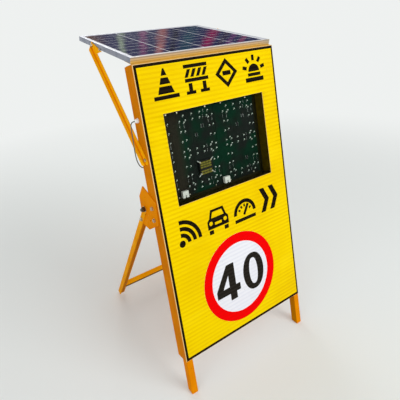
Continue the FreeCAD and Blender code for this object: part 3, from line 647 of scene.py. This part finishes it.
def press_ribs(mesh, pitch, behind=1):
    """Cuts a flat layer across at each quarter rib and presses what lies in front of a depth into waves."""
    bm = bmesh.new()
    bm.from_mesh(mesh)
    bmesh.ops.remove_doubles(bm, verts=bm.verts, dist=0.001)
    heights = [v.co.z for v in bm.verts]
    step = pitch / 4
    for k in range(math.ceil(min(heights) / step), math.floor(max(heights) / step) + 1):
        parts = [*bm.verts, *bm.edges, *bm.faces]
        bmesh.ops.bisect_plane(bm, geom=parts, dist=0.001, plane_co=(0, 0, k * step), plane_no=(0, 0, 1))
    for v in bm.verts:
        if v.co.y < behind:
            v.co.y += RIB_DEPTH * (0.5 - 0.5 * math.sin(2 * math.pi * v.co.z / pitch))
    bm.to_mesh(mesh)
    bm.free()
    return mesh


def cone_mark():
    """Traffic cone in three bands on its foot."""
    def level(z):
        return 34 - (z + 36) * 0.36

    parts = [rect(-50, 50, -50, -37)]
    for z0, z1 in ((-32, -8), (-1, 20), (27, 50)):
        parts.append([(-level(z0), z0), (level(z0), z0), (level(z1), z1), (-level(z1), z1)])
    return parts


def barrier_mark():
    """Roadworks barrier: a striped board on two legs."""
    parts = [rect(-50, 50, 38, 50), rect(-50, 50, -9, 3)]
    for x in (-50, -26, -2, 22):
        parts.append([(x, 7), (x + 14, 7), (x + 28, 34), (x + 14, 34)])
    for x in (-30, 30):
        parts.append([(x - 8, -13), (x - 8, -39), (x - 20, -39), (x - 20, -50), (x + 20, -50), (x + 20, -39),
                      (x + 8, -39), (x + 8, -13)])
    return parts


def diamond_mark():
    """Diamond sign with a bar across it."""
    return [disc(0, 0, 52, 4), disc(0, 0, 33, 4), rect(-19, 19, -8, 8)]


def lamp_mark():
    """Warning lamp on its housing, with rays."""
    parts = [rect(-46, 46, -50, -34), rect(-32, 32, -29, -17), arc(0, -12, 28, 0, 180, 24)]
    return parts + rays(-8, 36, 57, (14, 52, 90, 128, 166), 13)


def waves_mark():
    """Beam that spreads from a point in three arcs."""
    return [disc(-38, -38, 13, 32)] + [band(-40, -40, r, r + 15, 0, 90) for r in (26, 50, 74)]


def car_mark():
    """Front of a car."""
    body = [(-50, -30), (-50, 2), (-40, 12), (-30, 44), (30, 44), (40, 12), (50, 2), (50, -30)]
    glass = [(-30, 12), (-22, 34), (22, 34), (30, 12)]
    parts = [body, glass, disc(-34, -8, 8, 24), disc(34, -8, 8, 24), rect(-16, 16, -18, -8)]
    return parts + [rect(-46, -26, -50, -34), rect(26, 46, -50, -34)]


def dial_mark():
    """Speed dial with its needle."""
    parts = [band(0, -20, 42, 57, 0, 180, 40), rect(-54, 54, -50, -36)]
    return parts + rays(-20, 26, 37, (30, 90, 120, 150), 8) + [stroke(-6, -26, 19, 14, 12)]


def chevron_mark():
    """Two arrow heads one after the other."""
    return [[(x, 50), (x + 25, 50), (x + 50, 0), (x + 25, -50), (x, -50), (x + 25, 0)] for x in (-50, 0)]


# The marks by the height of their row on the face, from left to right
MARK_ROWS = {
    "upper_marks": (1108, (cone_mark, barrier_mark, diamond_mark, lamp_mark)),
    "lower_marks": (537, (waves_mark, car_mark, dial_mark, chevron_mark)),
}
MARK_X = (-221, -78, 70, 218)
MARK_SCALE = 1.1


def mark_row(name):
    height, marks = MARK_ROWS[name]
    outlines = []
    for mark, x in zip(marks, MARK_X):
        outlines += [[(px * MARK_SCALE + x, pz * MARK_SCALE + height) for px, pz in part] for part in mark()]
    return outlines


def number_outlines():
    """The figures of the limit, 4 and 0, in a plain bold form."""
    four = [(-33, 156), (-33, 188), (-10, 188), (-10, 220), (-33, 220), (-33, 324), (-74, 324), (-140, 222),
            (-140, 188), (-70, 188), (-70, 156)]
    gap = [(-70, 220), (-104, 220), (-70, 276)]
    return [four, gap, squared_oval(73.5, 240, 60, 86.5, 0.12), squared_oval(73.5, 240, 24, 62, 0.2)]


class SignFaceSettings(bpy.types.PropertyGroup):
    yellow: FloatVectorProperty(name="Sheeting", description="Colour of the sheeting, 0 to 255 a channel",
                                default=(247, 213, 0), min=0, max=255)
    red: FloatVectorProperty(name="Ring", description="Colour of the roundel's ring, 0 to 255 a channel",
                             default=(246, 2, 4), min=0, max=255)
    rib_pitch: FloatProperty(name="Rib pitch", description="Distance between two ribs, millimetres",
                             default=17, min=4, max=40)
    border: FloatProperty(name="Border", description="Width of the black line along the edge, millimetres",
                          default=10.6, min=2, max=30)
    ring_width: FloatProperty(name="Ring width", description="Width of the roundel's red ring, millimetres",
                              default=42, min=10, max=80)


class SignPanelSettings(bpy.types.PropertyGroup):
    columns: IntProperty(name="Cell columns", description="Columns of solar cells across the panel",
                         default=4, min=1, max=12)
    rows: IntProperty(name="Cell rows", description="Rows of solar cells up the panel",
                      default=9, min=1, max=24)
    gap: FloatProperty(name="Cell gap", description="Gap between two columns of cells, millimetres",
                       default=3.4, min=0.5, max=10)


class SignStageSettings(bpy.types.PropertyGroup):
    lens: FloatProperty(name="Lens", description="Focal length of the camera, millimetres",
                        default=29.54, min=10, max=200)
    key_power: FloatProperty(name="Key lamp", description="Power of the large front lamp, watts",
                             default=58, min=0, max=1000, subtype="POWER")
    ambient: FloatProperty(name="Ambient", description="Strength of the light from all round",
                           default=0.62, min=0, max=2)


class SIGN_OT_stage(bpy.types.Operator):
    """Pale floor, soft lamps and the camera"""

    bl_idname = "sign.stage"
    bl_label = "Stage"

    def execute(self, context):
        settings = context.scene.sign_stage
        pale = (0.86, 0.88, 0.87, 1)
        self.world(context, pale, settings.ambient)
        self.floor(pale)
        for name, place, size, share in (("key_lamp", (1.5, -3.1, 2.5), 2.4, 1),
                                         ("fill_lamp", (-3, -1.4, 1.7), 2.2, 0.3),
                                         ("back_lamp", (0.8, 3.2, 2.6), 2.2, 0.5)):
            self.lamp(name, Vector(place), size, settings.key_power * share)
        self.camera(context, settings.lens)
        context.scene.view_settings.view_transform = "Standard"
        return {"FINISHED"}

    def world(self, context, pale, ambient):
        """Even light from all round, while the camera, gloss and glass see the pale background."""
        world = bpy.data.worlds.new("studio")
        context.scene.world = world
        studio = Nodes(world)
        seen = studio.tree.nodes["Background"]
        studio.feed(seen.inputs[0], pale)
        light = studio.add("Background", {0: (0.98, 1, 0.99, 1), 1: ambient})
        rays_of = studio.add("LightPath").outputs
        share = rays_of["Is Camera Ray"]
        for kind in ("Is Glossy Ray", "Is Transmission Ray"):
            share = studio.add("Math", {0: share, 1: rays_of[kind]}, operation="MAXIMUM").outputs[0]
        studio.show("World Output", share, light, seen)

    def floor(self, pale):
        """Round floor that fades into the background well away from the sign."""
        mesh = bpy.data.meshes.new("floor")
        bm = bmesh.new()
        bmesh.ops.create_circle(bm, cap_ends=True, segments=96, radius=14)
        bm.to_mesh(mesh)
        bm.free()
        floor = placed("floor", mesh)
        material = bpy.data.materials.new("floor_paint")
        paint = Nodes(material)
        shader = paint.tree.nodes["Principled BSDF"]
        paint.feed(shader.inputs["Base Color"], (0.8, 0.82, 0.81, 1))
        paint.feed(shader.inputs["Roughness"], 0.9)
        glow = paint.add("Emission", {0: pale})
        place = paint.add("TexCoord").outputs["Object"]
        away = paint.add("VectorMath", {0: place}, operation="LENGTH").outputs["Value"]
        fade = paint.add("MapRange", {"Value": away, "From Min": 1.2, "From Max": 4.5},
                         interpolation_type="SMOOTHSTEP").outputs["Result"]
        paint.show("Material Output", fade, shader, glow)
        mesh.materials.append(material)

    def lamp(self, name, place, size, power):
        """Large soft lamp that points at the middle of the sign."""
        data = bpy.data.lights.new(name, "AREA")
        data.size = size
        data.energy = power
        lamp = placed(name, data)
        lamp.location = place
        lamp.rotation_euler = (SIGN_MIDDLE - place).to_track_quat("-Z", "Y").to_euler()

    def camera(self, context, lens):
        """Stands where the photographer stood, a little left of the sign and at eye height."""
        eye = Matrix.Translation((-0.8726, -1.1314, 1.4271))
        look = Vector((0.4169, 0.8307, -0.3688)).to_track_quat("-Z", "Y").to_matrix().to_4x4()
        roll = Matrix.Rotation(math.radians(-5.33), 4, "Z")
        data = bpy.data.cameras.new("camera")
        data.lens = lens
        data.sensor_width = 36
        data.shift_x, data.shift_y = 0.16, -0.1
        camera = placed("camera", data)
        camera.matrix_world = eye @ look @ roll
        context.scene.camera = camera


class SIGN_OT_finishes(bpy.types.Operator):
    """Finishes of the sign's own metalwork, boards and boxes"""

    bl_idname = "sign.finishes"
    bl_label = "Finishes"

    def execute(self, context):
        face = context.scene.sign_face
        dressed = (
            ("cabinet_shell rear_cover", cabinet_enamel()),
            # The bar enamels paint shade on the posts' inner sides and on flanges of the legs and struts
            ("left_post right_post left_pivot_plate right_pivot_plate",
             bar_enamel("post_enamel", (234, 140, 0), (208, 112, 0), (244, 160, 12),
                        middle=308.5, reach=0.9, shade=(172, 108, 0))),
            ("left_leg right_leg",
             bar_enamel("leg_enamel", (240, 160, 8), (216, 130, 0), (250, 182, 22),
                        middle=333.5, reach=11.5, shade=(176, 102, 0))),
            ("left_strut right_strut",
             bar_enamel("strut_enamel", (255, 186, 14), (246, 162, 4), (255, 206, 50),
                        middle=346.6, reach=3.5, shade=(236, 134, 0))),
            ("crossbar", crossbar_enamel()),
            ("seat_strip",
             powder_coat("golden_strip", (218, 168, 66), (190, 136, 44), (230, 188, 100)).material),
            ("face_film",
             ribbed_sheeting("yellow_sheeting", face.yellow, (228, 182, 0), (255, 226, 20), face.rib_pitch)),
            ("roundel_film",
             ribbed_sheeting("white_sheeting", (238, 238, 244), (222, 222, 234), (246, 246, 250),
                             face.rib_pitch)),
            ("pivot_washers plate_nuts lock_nuts display_studs board_pillars radar_pillars control_pillars "
             "strut_spacers seat_bolts cover_screws",
             plated_steel("zinc_plate", (206, 198, 176), (150, 140, 116), 0.32)),
            ("pivot_bolts pivot_nuts", plated_steel("oiled_steel", (98, 88, 74), (48, 40, 30), 0.3)),
            ("lower_rail upper_rail battery_tray equipment_plate",
             plated_steel("galvanised_sheet", (150, 154, 156), (118, 122, 124), 0.45)),
            ("panel_bar_rear panel_bar_left panel_bar_right",
             anodised_bar("bar_anodised", (205, 206, 214), (170, 172, 184)).material),
            ("panel_bar_front", front_bar()),
            ("left_digit_board right_digit_board edge_board control_board", solder_mask()),
            ("board_plugs gland_nut", moulded("white_nylon", (240, 240, 234), (214, 214, 204), 0.4)),
            ("post_plugs junction_box junction_lid radar_board",
             moulded("black_plastic", (18, 18, 18), (32, 32, 32), 0.5)),
            ("display_tray", tray_enamel()),
            ("window_gasket", moulded("gasket_rubber", (22, 22, 22), (34, 34, 34), 0.7)),
            ("window_pane", clear_acrylic()),
            ("battery", moulded("battery_case", (44, 48, 54), (58, 62, 70), 0.5)),
            ("charge_controller", moulded("heat_sink", (34, 34, 36), (54, 54, 58), 0.4)),
            ("terminal_block", moulded("terminal_green", (20, 120, 60), (14, 92, 46), 0.4)),
            ("battery_strap", webbing()),
        )
        for names, material in dressed:
            for name in names.split():
                self.dress(frame["nodes"][name], material)
        return {"FINISHED"}

    def dress(self, obj, material):
        obj.data.materials.clear()
        obj.data.materials.append(material)
        for width, names in SOFTENED.items():
            if obj.name in names.split():
                soften(obj, width)


class SIGN_OT_face_print(bpy.types.Operator):
    """Films and printed layers of the face: border, marks, roundel and its figures"""

    bl_idname = "sign.face_print"
    bl_label = "Face print"

    def execute(self, context):
        face = context.scene.sign_face
        pitch = face.rib_pitch
        black = screen_ink("black_ink", (20, 16, 12), (54, 44, 20), pitch)
        red = screen_ink("red_ink", face.red, (214, 20, 14), pitch)
        figures = screen_ink("figure_ink", (34, 30, 26), (58, 54, 50), pitch)
        self.film("face_film", "ribbed_face", "yellow_sheeting", "sheeting", pitch)
        self.film("roundel_film", "ribbed_roundel", "white_sheeting", "roundel", pitch)
        ring = [disc(0, ROUNDEL_Z, r, 128) for r in (ROUNDEL_R - 0.1, ROUNDEL_R - face.ring_width)]
        layers = (("border_line", self.border(face.border), black, "sheeting", 1),
                  ("upper_marks", mark_row("upper_marks"), black, "sheeting", 1),
                  ("lower_marks", mark_row("lower_marks"), black, "sheeting", 1),
                  ("roundel_ring", ring, red, "roundel", 2),
                  ("roundel_figures", number_outlines(), figures, "roundel", 2))
        for name, outlines, ink, slot, films_below in layers:
            place = SIGN @ Matrix.Translation((0, -films_below * FILM_T * MM, 0))
            piece(name, press_ribs(printed(outlines), pitch), ink, place=place)
        return {"FINISHED"}

    def border(self, width):
        """Line along the film's edge, thinner at the right."""
        hw, top = HALF_W - FILM_INSET, FACE_H - FILM_INSET
        right = 0.75 * width
        inside = rect(-hw + width, hw - right, FILM_INSET + width, top - width)
        return [rect(-hw, hw, FILM_INSET, top), inside]

    def film(self, node, name, finish, slot, pitch):
        """The film itself, with its front pressed into ribs."""
        source = frame["nodes"][node]
        mesh = source.data.copy()
        mesh.transform(Matrix.Scale(1 / MM, 4) @ SIGN.inverted() @ source.matrix_world)
        front = min(v.co.y for v in mesh.vertices)
        press_ribs(mesh, pitch, front + 0.01)
        piece(name, mesh, bpy.data.materials[finish], stands_for=[node])


def lamp_rows():
    """Rows of four lamps, outer and inner ones in each bar of a figure: first place and step to the next."""
    level = ((FIGURE_HH, OUTER_PITCH), (FIGURE_HH - ROW_GAP, INNER_PITCH), (ROW_GAP / 2, INNER_PITCH))
    rows = [((-1.5 * pitch, turn * z), (pitch, 0)) for z, pitch in level for turn in (-1, 1)]
    upright = ((FIGURE_HW, 10, OUTER_PITCH), (FIGURE_HW - ROW_GAP, 18, INNER_PITCH))
    rows += [((side * x, turn * first), (0, turn * pitch))
             for x, first, pitch in upright for side in (-1, 1) for turn in (-1, 1)]
    return rows


def figure_spots(middle, counts):
    """Places in each row of a figure, counted in lamps from the row's first."""
    return [(middle + (x + k * dx), DIGIT_Z + (z + k * dz))
            for (x, z), (dx, dz) in lamp_rows() for k in counts]


def edge_spots(counts):
    """Places in the strip at the window's left edge, counted in lamps from its lowest."""
    return [(EDGE_X, EDGE_Z0 + k * EDGE_PITCH) for k in counts]


class SIGN_OT_display(bpy.types.Operator):
    """Lamps and small parts of the display behind the window"""

    bl_idname = "sign.display"
    bl_label = "Display"

    def execute(self, context):
        epoxy = clear_epoxy()
        chip = moulded("chip_case", (24, 24, 26), (44, 44, 46), 0.4)
        solder = plated_steel("solder", (190, 196, 192), (140, 148, 144), 0.3)
        gold = moulded("gold_patch", (118, 112, 40), (70, 68, 22), 0.45)
        lamps = {side + "_digit": figure_spots(x, range(4)) for side, x in DIGIT_X.items()}
        lamps["edge"] = edge_spots(range(8))
        for name, spots in lamps.items():
            self.lenses(name, spots, epoxy)
        self.small_parts(sum(lamps.values(), []), chip, solder)
        self.radar(chip, gold, solder)
        return {"FINISHED"}

    def lenses(self, name, spots, epoxy):
        """Domed lamps with their foot flanges."""
        profile = [(3, 0), (3, 1), (2.6, 1.1), (2.5, 4.6)]
        for k in range(1, 5):
            a = math.radians(22 * k)
            profile.append((2.5 * math.cos(a), 4.6 + 2.6 * math.sin(a)))
        shape = Shape()
        for x, z in spots:
            shape.turned(profile, (x, BOARD_Y, z), (0, -1, 0), 12)
        piece(name + "_lenses", shape, epoxy, stands_for=[name + "_lamps"])

    def small_parts(self, lamps, chip, solder):
        """Driver chips with their legs, pads under the lamps, and resistors with their solder ends."""
        bodies, ends = Shape(), Shape()
        pairs = edge_spots((0.5, 3.5, 4.5))
        for x in DIGIT_X.values():
            pairs += figure_spots(x, (2.5,))
            for cx, cz in ((x + dx, DIGIT_Z + dz) for dx, dz in CHIPS):
                bodies.block(cx, cz, CHIP, BOARD_Y)
                for k in range(8):
                    for side in (-1, 1):
                        ends.block(cx + side * 5.2, cz - 7 + k * 2, CHIP_LEG, BOARD_Y)
        for x, z in lamps:
            ends.block(x, z - 5.4, PAD, BOARD_Y)
        for x, z in pairs:
            for cz in (z - 3.2, z + 3.2):
                bodies.block(x, cz, RESISTOR, BOARD_Y)
                for ez in (cz - 1.7, cz + 1.7):
                    ends.block(x, ez, RESISTOR_END, BOARD_Y)
        piece("board_chips", bodies, chip)
        piece("board_solder", ends, solder)

    def radar(self, chip, gold, silver):
        """Radar module: rows of aerial patches, three above its middle bar and two below, and corner lugs."""
        patches, bar, lugs = Shape(), Shape(), Shape()
        for x in PATCH_X:
            for z in PATCH_Z:
                patches.block(RADAR_X + x, RADAR_Z + z, PATCH, RADAR_Y)
        bar.block(RADAR_X, RADAR_Z - 7.25, RADAR_BAR, RADAR_Y)
        for i in (-1, 1):
            for j in (-1, 1):
                x, z = RADAR_X + i * RADAR_REACH_X, RADAR_Z + j * RADAR_REACH_Z
                lug = stroke(x - i * 3, z - j * 3, x + i * 12, z + j * 9, 3.2)
                lugs.stack([[(px, y, pz) for px, pz in lug] for y in (RADAR_Y - 0.7, RADAR_Y)])
        piece("radar_patches", patches, gold)
        piece("radar_bar", bar, chip)
        piece("radar_lugs", lugs, silver)


class SIGN_OT_solar_panel(bpy.types.Operator):
    """Cells, ribbons and backing sheet of the solar panel"""

    bl_idname = "sign.solar_panel"
    bl_label = "Solar panel"

    def execute(self, context):
        settings = context.scene.sign_panel
        white = moulded("backing_sheet", (232, 232, 238), (214, 214, 224), 0.5, 0.2)
        silver = plated_steel("tinned_ribbon", (112, 114, 130), (84, 86, 104), 0.5, PANEL)
        inset, underside, clear = 1.7, 14, 18
        backing, cells, ribbons = Shape(), Shape(), Shape()
        backing.slab(rect(inset, PANEL_W - inset, inset, PANEL_L - inset), underside, GLASS_TOP)
        x0, x1, y0, y1 = 20, PANEL_W - 26, clear, PANEL_L - clear
        gap_x, gap_y = settings.gap, settings.gap * 0.6
        cell_w = (x1 - x0 - gap_x * (settings.columns - 1)) / settings.columns
        cell_l = (y1 - y0 - gap_y * (settings.rows - 1)) / settings.rows
        for i in range(settings.columns):
            cx = x0 + i * (cell_w + gap_x)
            for j in range(settings.rows):
                cy = y0 + j * (cell_l + gap_y)
                self.cell(cells, cx, cx + cell_w, cy, cy + cell_l)
            for share in (0.25, 0.75):
                rx = cx + cell_w * share
                ribbons.slab(rect(rx - 0.6, rx + 0.6, y0 - 6, y1 + 6), GLASS_TOP, GLASS_TOP + RIBBON_T)
        for y in (y0 - 8, y1 + 5):
            ribbons.slab(rect(x0 + 30, x1 - 30, y, y + 3), GLASS_TOP, GLASS_TOP + BUS_T)
        piece("panel_backing", backing, white, place=PANEL, stands_for=["panel_laminate"])
        piece("solar_cells", cells, silicon_cells(), place=PANEL)
        piece("cell_ribbons", ribbons, silver, place=PANEL)
        return {"FINISHED"}

    def cell(self, shape, x0, x1, y0, y1):
        """Thin plate with clipped corners."""
        c = 2
        outline = [(x0 + c, y0), (x1 - c, y0), (x1, y0 + c), (x1, y1 - c), (x1 - c, y1), (x0 + c, y1),
                   (x0, y1 - c), (x0, y0 + c)]
        shape.slab(outline, GLASS_TOP, GLASS_TOP + CELL_T)


# Bolts: size across the flats, height of the head, radius of the shank
M8 = (13, 5.3, 4)
M5 = (8, 3.5, 2.5)
# Washers: radius of the flat and of the rim
PLATE_WASHER, LOCK_WASHER = (7.6, 8), (8.2, 8.5)
WASHER_T = 1.6
# Pivot bolts: size across the flats, height of head and nut, the nut's bore, then the thread's radius and
# pitch, the washer under the nut, and where the bolts end along x
PIVOT_ACROSS, PIVOT_HEAD_H, PIVOT_NUT_H, PIVOT_BORE = 18, 7.5, 10, 5.4
PIVOT_R, PIVOT_PITCH, PIVOT_WASHER_T, PIVOT_END = 5.9, 1.75, 2.5, 366.3


def bolt(shape, size, side, face, spot, length, washer=None):
    """Bolt at (y, z) with its head outwards on a face at x, on its washer if any, and its shank inwards."""
    across, height, radius = size
    out, seat = (side, 0, 0), face
    if washer:
        flat, rim = washer
        shape.turned([(flat, 0), (rim, 0.3), (rim, 1.3), (flat, WASHER_T)], (face, *spot), out, 24)
        seat = face + side * WASHER_T
    shape.hex_head(across, height, (seat, *spot), out)
    shape.turned([(radius, 0), (radius, length)], (face, *spot), (-side, 0, 0))


class SIGN_OT_fasteners(bpy.types.Operator):
    """Bolts, nuts, the gland and the tapered ends of the struts"""

    bl_idname = "sign.fasteners"
    bl_label = "Fasteners"

    def execute(self, context):
        zinc = bpy.data.materials["zinc_plate"]
        oiled = bpy.data.materials["oiled_steel"]
        plate, lock, strut, pivot, nuts = Shape(), Shape(), Shape(), Shape(), Shape()
        y, z = PIVOT.y, PIVOT.z
        for side in (-1, 1):
            out = (side, 0, 0)
            wall = side * HALF_W
            for spot in PLATE_BOLTS:
                bolt(plate, M8, side, side * (HALF_W + PLATE_T), spot, PLATE_T + 14, PLATE_WASHER)
            leg_face = side * (HALF_W + PLATE_T + GAP + LEG_T)
            bolt(lock, M8, side, leg_face, (0, -LOCK_R), LEG_T, LOCK_WASHER)
            for spot, size in ((STRUT_FOOT, M8), (STRUT_HEAD, M8), (STRUT_TIP, M5)):
                gap = 2 * HALF_W - PANEL_W if side > 0 and spot[1] > FACE_H else 0
                bolt(strut, size, side, side * (HALF_W + STRUT_T), spot, STRUT_T + gap + 8)
            nut_at = leg_face + side * (GAP + PIVOT_WASHER_T)
            nuts.hex_head(PIVOT_ACROSS, PIVOT_NUT_H, (nut_at, y, z), out, PIVOT_BORE)
            pivot.hex_head(PIVOT_ACROSS, PIVOT_HEAD_H, (wall, y, z), (-side, 0, 0))
            pivot.turned([(PIVOT_R, 0), (PIVOT_R, abs(nut_at) - HALF_W)], (wall, y, z), out, 20)
            pivot.threaded(PIVOT_R, PIVOT_END - abs(nut_at) - 0.2, PIVOT_PITCH, (nut_at, y, z), out)
        piece("lock_bolt_set", lock, zinc, "leg_frame", LEG, stands_for=["lock_bolts"])
        sets = (("plate_bolt", plate, zinc, "zinc"), ("strut_bolt", strut, zinc, "zinc"),
                ("pivot_bolt", pivot, oiled, "pivot_steel"), ("pivot_nut", nuts, oiled, "pivot_steel"))
        for name, shape, finish, slot in sets:
            piece(name + "_set", shape, finish, stands_for=[name + "s"])
        self.gland()
        self.tapers()
        return {"FINISHED"}

    def tapers(self):
        """Ends of the struts' outer flanges, which run out beside the panel's frame."""
        foot, head = Vector(STRUT_FOOT), Vector(STRUT_HEAD)
        along = (head - foot).normalized()
        across = Vector((along.y, -along.x))
        start, end = (head - foot).length - 14, (head - foot).length + 11.5
        shape = Shape()
        for side in (-1, 1):
            rings = []
            for t in (8.5, 11.5):
                ring = []
                for out, s in ((20, start), (0.5, start), (0.5, end), (4, end)):
                    y, z = foot + along * s + across * t
                    ring.append((side * (HALF_W + out), y, z))
                rings.append(ring)
            shape.stack(rings)
        piece("strut_tapers", shape, bpy.data.materials["strut_enamel"], edge=0.5)

    def gland(self):
        """Gland with a ribbed cap and a hexagonal collar."""
        at, out, inward = (-HALF_W, *GLAND), (-1, 0, 0), (1, 0, 0)
        shape = Shape()
        shape.hex_head(16, 4, at, out)
        profile = [(6.5, 4), (7.2, 4.4), (7.2, 10.6), (6.7, 11.5), (5.6, 12.9), (4.7, 14), (4.1, 14.5),
                   (2.3, 14.5)]
        shape.turned(profile, at, out, 48, lambda k: 0.95 if k % 4 == 0 else 1)
        shape.turned([(6, 0), (6, 10)], at, inward, 24)
        nylon = bpy.data.materials["white_nylon"]
        piece("gland_cap", shape, nylon, stands_for=["cable_gland"])


# Route of the panel's lead in the sign's frame, in metres
LEAD_ROUTE = [
    (-0.3545, 0.03, 0.998), (-0.361, 0.03, 0.998), (-0.367, 0.0303, 0.9946), (-0.3706, 0.031, 0.9884),
    (-0.3712, 0.032, 0.98), (-0.371, 0.034, 0.962), (-0.3705, 0.037, 0.938), (-0.37, 0.04, 0.912),
    (-0.369, 0.044, 0.887), (-0.366, 0.0493, 0.861), (-0.358, 0.057, 0.838), (-0.344, 0.068, 0.821),
    (-0.322, 0.088, 0.81), (-0.294, 0.117, 0.805), (-0.262, 0.15, 0.808), (-0.23, 0.181, 0.821),
    (-0.2, 0.208, 0.842), (-0.172, 0.232, 0.871), (-0.145, 0.252, 0.906), (-0.121, 0.269, 0.946),
    (-0.099, 0.283, 0.99), (-0.08, 0.293, 1.035), (-0.063, 0.301, 1.081), (-0.048, 0.307, 1.126),
    (-0.035, 0.311, 1.168), (-0.024, 0.314, 1.207), (-0.0155, 0.316, 1.241), (-0.01, 0.3165, 1.272),
    (-0.007, 0.314, 1.296), (-0.0055, 0.3135, 1.311), (-0.005, 0.317, 1.3205), (-0.005, 0.3237, 1.3267),
    (-0.005, 0.332, 1.33)]
LEAD_D = 0.004


class SIGN_OT_lead(bpy.types.Operator):
    """Free lead from the gland round the cabinet's edge to the junction box"""

    bl_idname = "sign.lead"
    bl_label = "Lead"

    def execute(self, context):
        curve = bpy.data.curves.new("panel_lead_line", "CURVE")
        curve.dimensions = "3D"
        spline = curve.splines.new("NURBS")
        spline.points.add(len(LEAD_ROUTE) - 1)
        for point, place in zip(spline.points, LEAD_ROUTE):
            point.co = (*(SIGN @ Vector(place)), 1)
        spline.order_u = 3
        spline.use_endpoint_u = True
        curve.resolution_u = 8
        curve.bevel_depth = LEAD_D / 2
        curve.bevel_resolution = 4
        curve.use_fill_caps = True
        curve.materials.append(moulded("lead_jacket", (96, 98, 90), (122, 124, 112), 0.35, 0.2))
        lead = placed("solar_lead", curve)
        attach(lead, "cabinet")
        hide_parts("panel_lead")
        return {"FINISHED"}


class SIGN_PT_panel(bpy.types.Panel):
    """Shows the sign's settings and its operators in the sidebar"""

    bl_idname = "SIGN_PT_panel"
    bl_label = "Solar speed limit sign"
    bl_space_type = "VIEW_3D"
    bl_region_type = "UI"
    bl_category = "Sign"

    def draw(self, context):
        for group, settings in GROUPS.items():
            box = self.layout.box()
            for name in settings.__annotations__:
                box.prop(getattr(context.scene, group), name)
        for operator in OPERATORS:
            self.layout.operator(operator.bl_idname)


OPERATORS = (SIGN_OT_stage, SIGN_OT_finishes, SIGN_OT_lead, SIGN_OT_face_print, SIGN_OT_display,
             SIGN_OT_solar_panel, SIGN_OT_fasteners)
GROUPS = {"sign_face": SignFaceSettings, "sign_panel": SignPanelSettings, "sign_stage": SignStageSettings}
CLASSES = (*GROUPS.values(), *OPERATORS, SIGN_PT_panel)


def register():
    for cls in CLASSES:
        bpy.utils.register_class(cls)
    for name, group in GROUPS.items():
        setattr(bpy.types.Scene, name, PointerProperty(type=group))


def unregister():
    for name in GROUPS:
        delattr(bpy.types.Scene, name)
    for cls in reversed(CLASSES):
        bpy.utils.unregister_class(cls)


def main():
    register()
    for operator in OPERATORS:
        group, name = operator.bl_idname.split(".")
        getattr(getattr(bpy.ops, group), name)()


if __name__ == "__main__":
    main()
